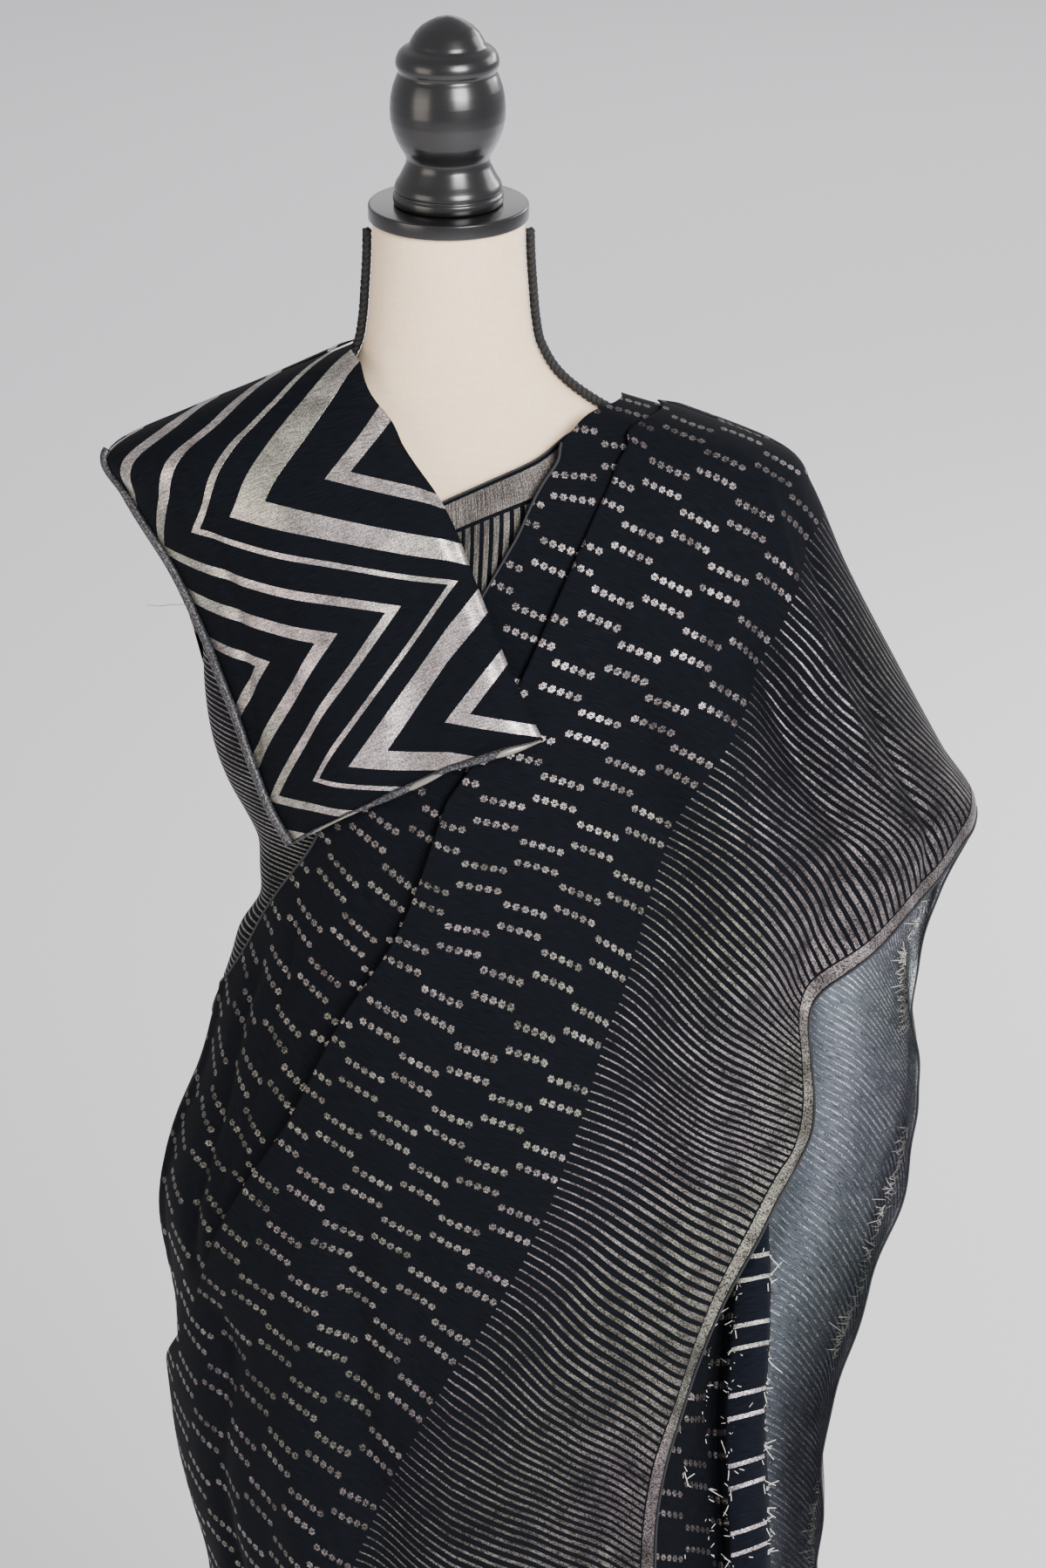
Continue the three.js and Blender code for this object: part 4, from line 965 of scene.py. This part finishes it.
# ends at both sides of each float on the loose fold
for k in range(-8, -3):
    for turn in (0.25 * SPOT["repeat"], 0.25 * SPOT["repeat"] + SPOT["second"]):
        for repeat in range(-1, 14):
            warp = turn + SPOT["repeat"] * (repeat - 0.5 * (k % 2))
            for side in (-0.5, 0.5):
                weft = (k + 0.5) * SPOT["group"] + side * 5 * SPOT["pitch"]
                gap = np.hypot(loose_uv[..., 0] - weft, loose_uv[..., 1] - warp)
                r, c = np.unravel_index(np.argmin(gap), gap.shape)
                if gap[r, c] < 3 and 2 < r < gap.shape[0] - 3 and 0 < c < gap.shape[1] - 1:
                    ends += [tuft(loose_points, int(r), int(c), 8.0, -1.0) for _ in range(12)]
tubes_object("cut_weft_ends", ends, 0.3, SILVER_THREAD, sides=3)

# one pulled thread at the armhole
pulled = [(-176, -12, 1262), (-184, -16, 1263), (-193, -18, 1262.5), (-202, -20, 1264)]
tubes_object("pulled_thread", [resample(pulled, 2)], 0.22, DARK_THREAD, sides=4)

# %% [markdown]
# Rolled edges. The folded end's edges curl on themselves into a dark roll with silver glints. A
# sheet would need many tight turns to show this, so a swept tube along each edge stands for the
# roll.
# %% Rolled edges of the folded end
# silver floats that face out on a rolled edge
SILVER_ROLL = new_material(
    "silver weft on a rolled edge",
    lambda tree: {"Base Color": linear("8e897f"), "Metallic": 0.8, "Roughness": 0.42},
)


def rolled_inputs(tree):
    """Dark warp with the turned-in silver glinting through it as short flecks."""
    place = node(tree, "ShaderNodeTexCoord", output=3)
    fleck = node(tree, "ShaderNodeTexNoise", {"Vector": place, "Scale": 900.0, "Detail": 1.0})
    lit = node(tree, "ShaderNodeMapRange", [fleck, 0.5, 0.64, 0.0, 1.0])
    yarns = {0: lit, 6: linear("0e1016"), 7: linear("6f6d70")}
    colour = node(tree, "ShaderNodeMix", yarns, 2, data_type="RGBA")
    return {"Base Color": colour, "Metallic": lit, "Roughness": 0.5}


# tightly rolled selvedge, dark warp over silver
DARK_ROLL = new_material("rolled selvedge", rolled_inputs)
inset = 8.0 * np.sin(np.pi * np.linspace(0, 1, len(front_points)) ** 0.8)
place = inset / weft_lengths(front_points)[:, -1] * (front_points.shape[1] - 1)
column, part = place.astype(int), (place % 1)[:, None]
line = np.arange(len(front_points))
roll = front_points[line, column] * (1 - part) + front_points[line, column + 1] * part
roll = resample(roll[2:], 2) + np.array([-1.4, -2.8, 0.4])
tubes_object("rolled_selvedge", [roll], 3.0, DARK_ROLL, sides=10)
lower_edge = resample(front_points[-1], 1.5)
share = np.linspace(0, 1, len(lower_edge))
rise = soft_step(share, 0.15, 0.6) * (1 - 0.7 * soft_step(share, 0.85, 1))
swell = 0.9 + 1.6 * rise + 0.4 * np.sin(share * 17)
lower_edge += np.array([0, -1.0, 0.8]) * swell[:, None]
tubes_object("rolled_hem", [lower_edge], swell, DARK_ROLL, sides=12)
for i, (start, end) in enumerate(((0.1, 0.34), (0.5, 0.66), (0.8, 1.0))):
    part = (share >= start) & (share <= end)
    taper = np.sin(np.pi * np.linspace(0.04, 0.96, part.sum())) ** 0.4
    flare = lower_edge[part] + np.array([0.2, -0.5, -0.3])
    radius = swell[part] * taper * 1.02
    tubes_object(f"rolled_hem_silver_{i}", [flare], radius, SILVER_ROLL, sides=12)

# %% [markdown]
# The studio. The photo has a pale, even ground and soft light from the front and right. One wide
# floor fills the view from every side, where a wall would hide the cloth from behind.
# %% Floor, light and camera
# matt pale studio floor
FLOOR = new_material(
    "pale studio floor", lambda tree: {"Base Color": linear("f7f5f8"), "Roughness": 0.95}
)
bpy.ops.mesh.primitive_plane_add(size=60, location=(0, 0, -0.0005))
floor = bpy.context.object
floor.name = "floor"
floor.data.materials.append(FLOOR)

world = bpy.data.worlds.new("soft studio")
bpy.context.scene.world = world
world.use_nodes = True
background = world.node_tree.nodes["Background"]
background.inputs[0].default_value = linear("f3f3f7")
background.inputs[1].default_value = 0.68


def area_light(name, location, target, size, power, colour="ffffff"):
    """A square soft box that faces its target."""
    lamp = bpy.data.lights.new(name, "AREA")
    lamp.size, lamp.energy, lamp.color = size, power, linear(colour)[:3]
    made = bpy.data.objects.new(name, lamp)
    made.location = location
    away = np.array(target) - np.array(location)
    lean = math.atan2(math.hypot(away[0], away[1]), -away[2])
    made.rotation_euler = (lean, 0, math.atan2(away[1], away[0]) - math.pi / 2)
    bpy.context.collection.objects.link(made)


area_light("key soft box", (1.4, -2.6, 2.4), (0, 0, 1.2), 1.3, 180)
area_light("fill soft box", (-2.4, -1.8, 1.6), (0, 0, 1.1), 1.8, 34, "fff3e6")
area_light("rim soft box", (1.9, 1.0, 2.4), (0, 0, 1.2), 1.0, 14)
area_light("near floor soft box", (2.6, 3.0, 2.6), (1.0, 3.6, 0), 1.5, 100)
area_light("far floor soft box", (2.0, 9.0, 5.0), (2.0, 9.0, 0), 7.0, 190)

camera_data = bpy.data.cameras.new("camera")
camera_data.lens, camera_data.sensor_width = 100, 36
camera = bpy.data.objects.new("camera", camera_data)
camera.location = (0.048, -2.7915, 2.0401)
camera.rotation_euler = (math.radians(72), 0, 0)
bpy.context.collection.objects.link(camera)
bpy.context.scene.camera = camera
print("camera at", tuple(camera.location), "with a lens of", camera_data.lens, "mm")
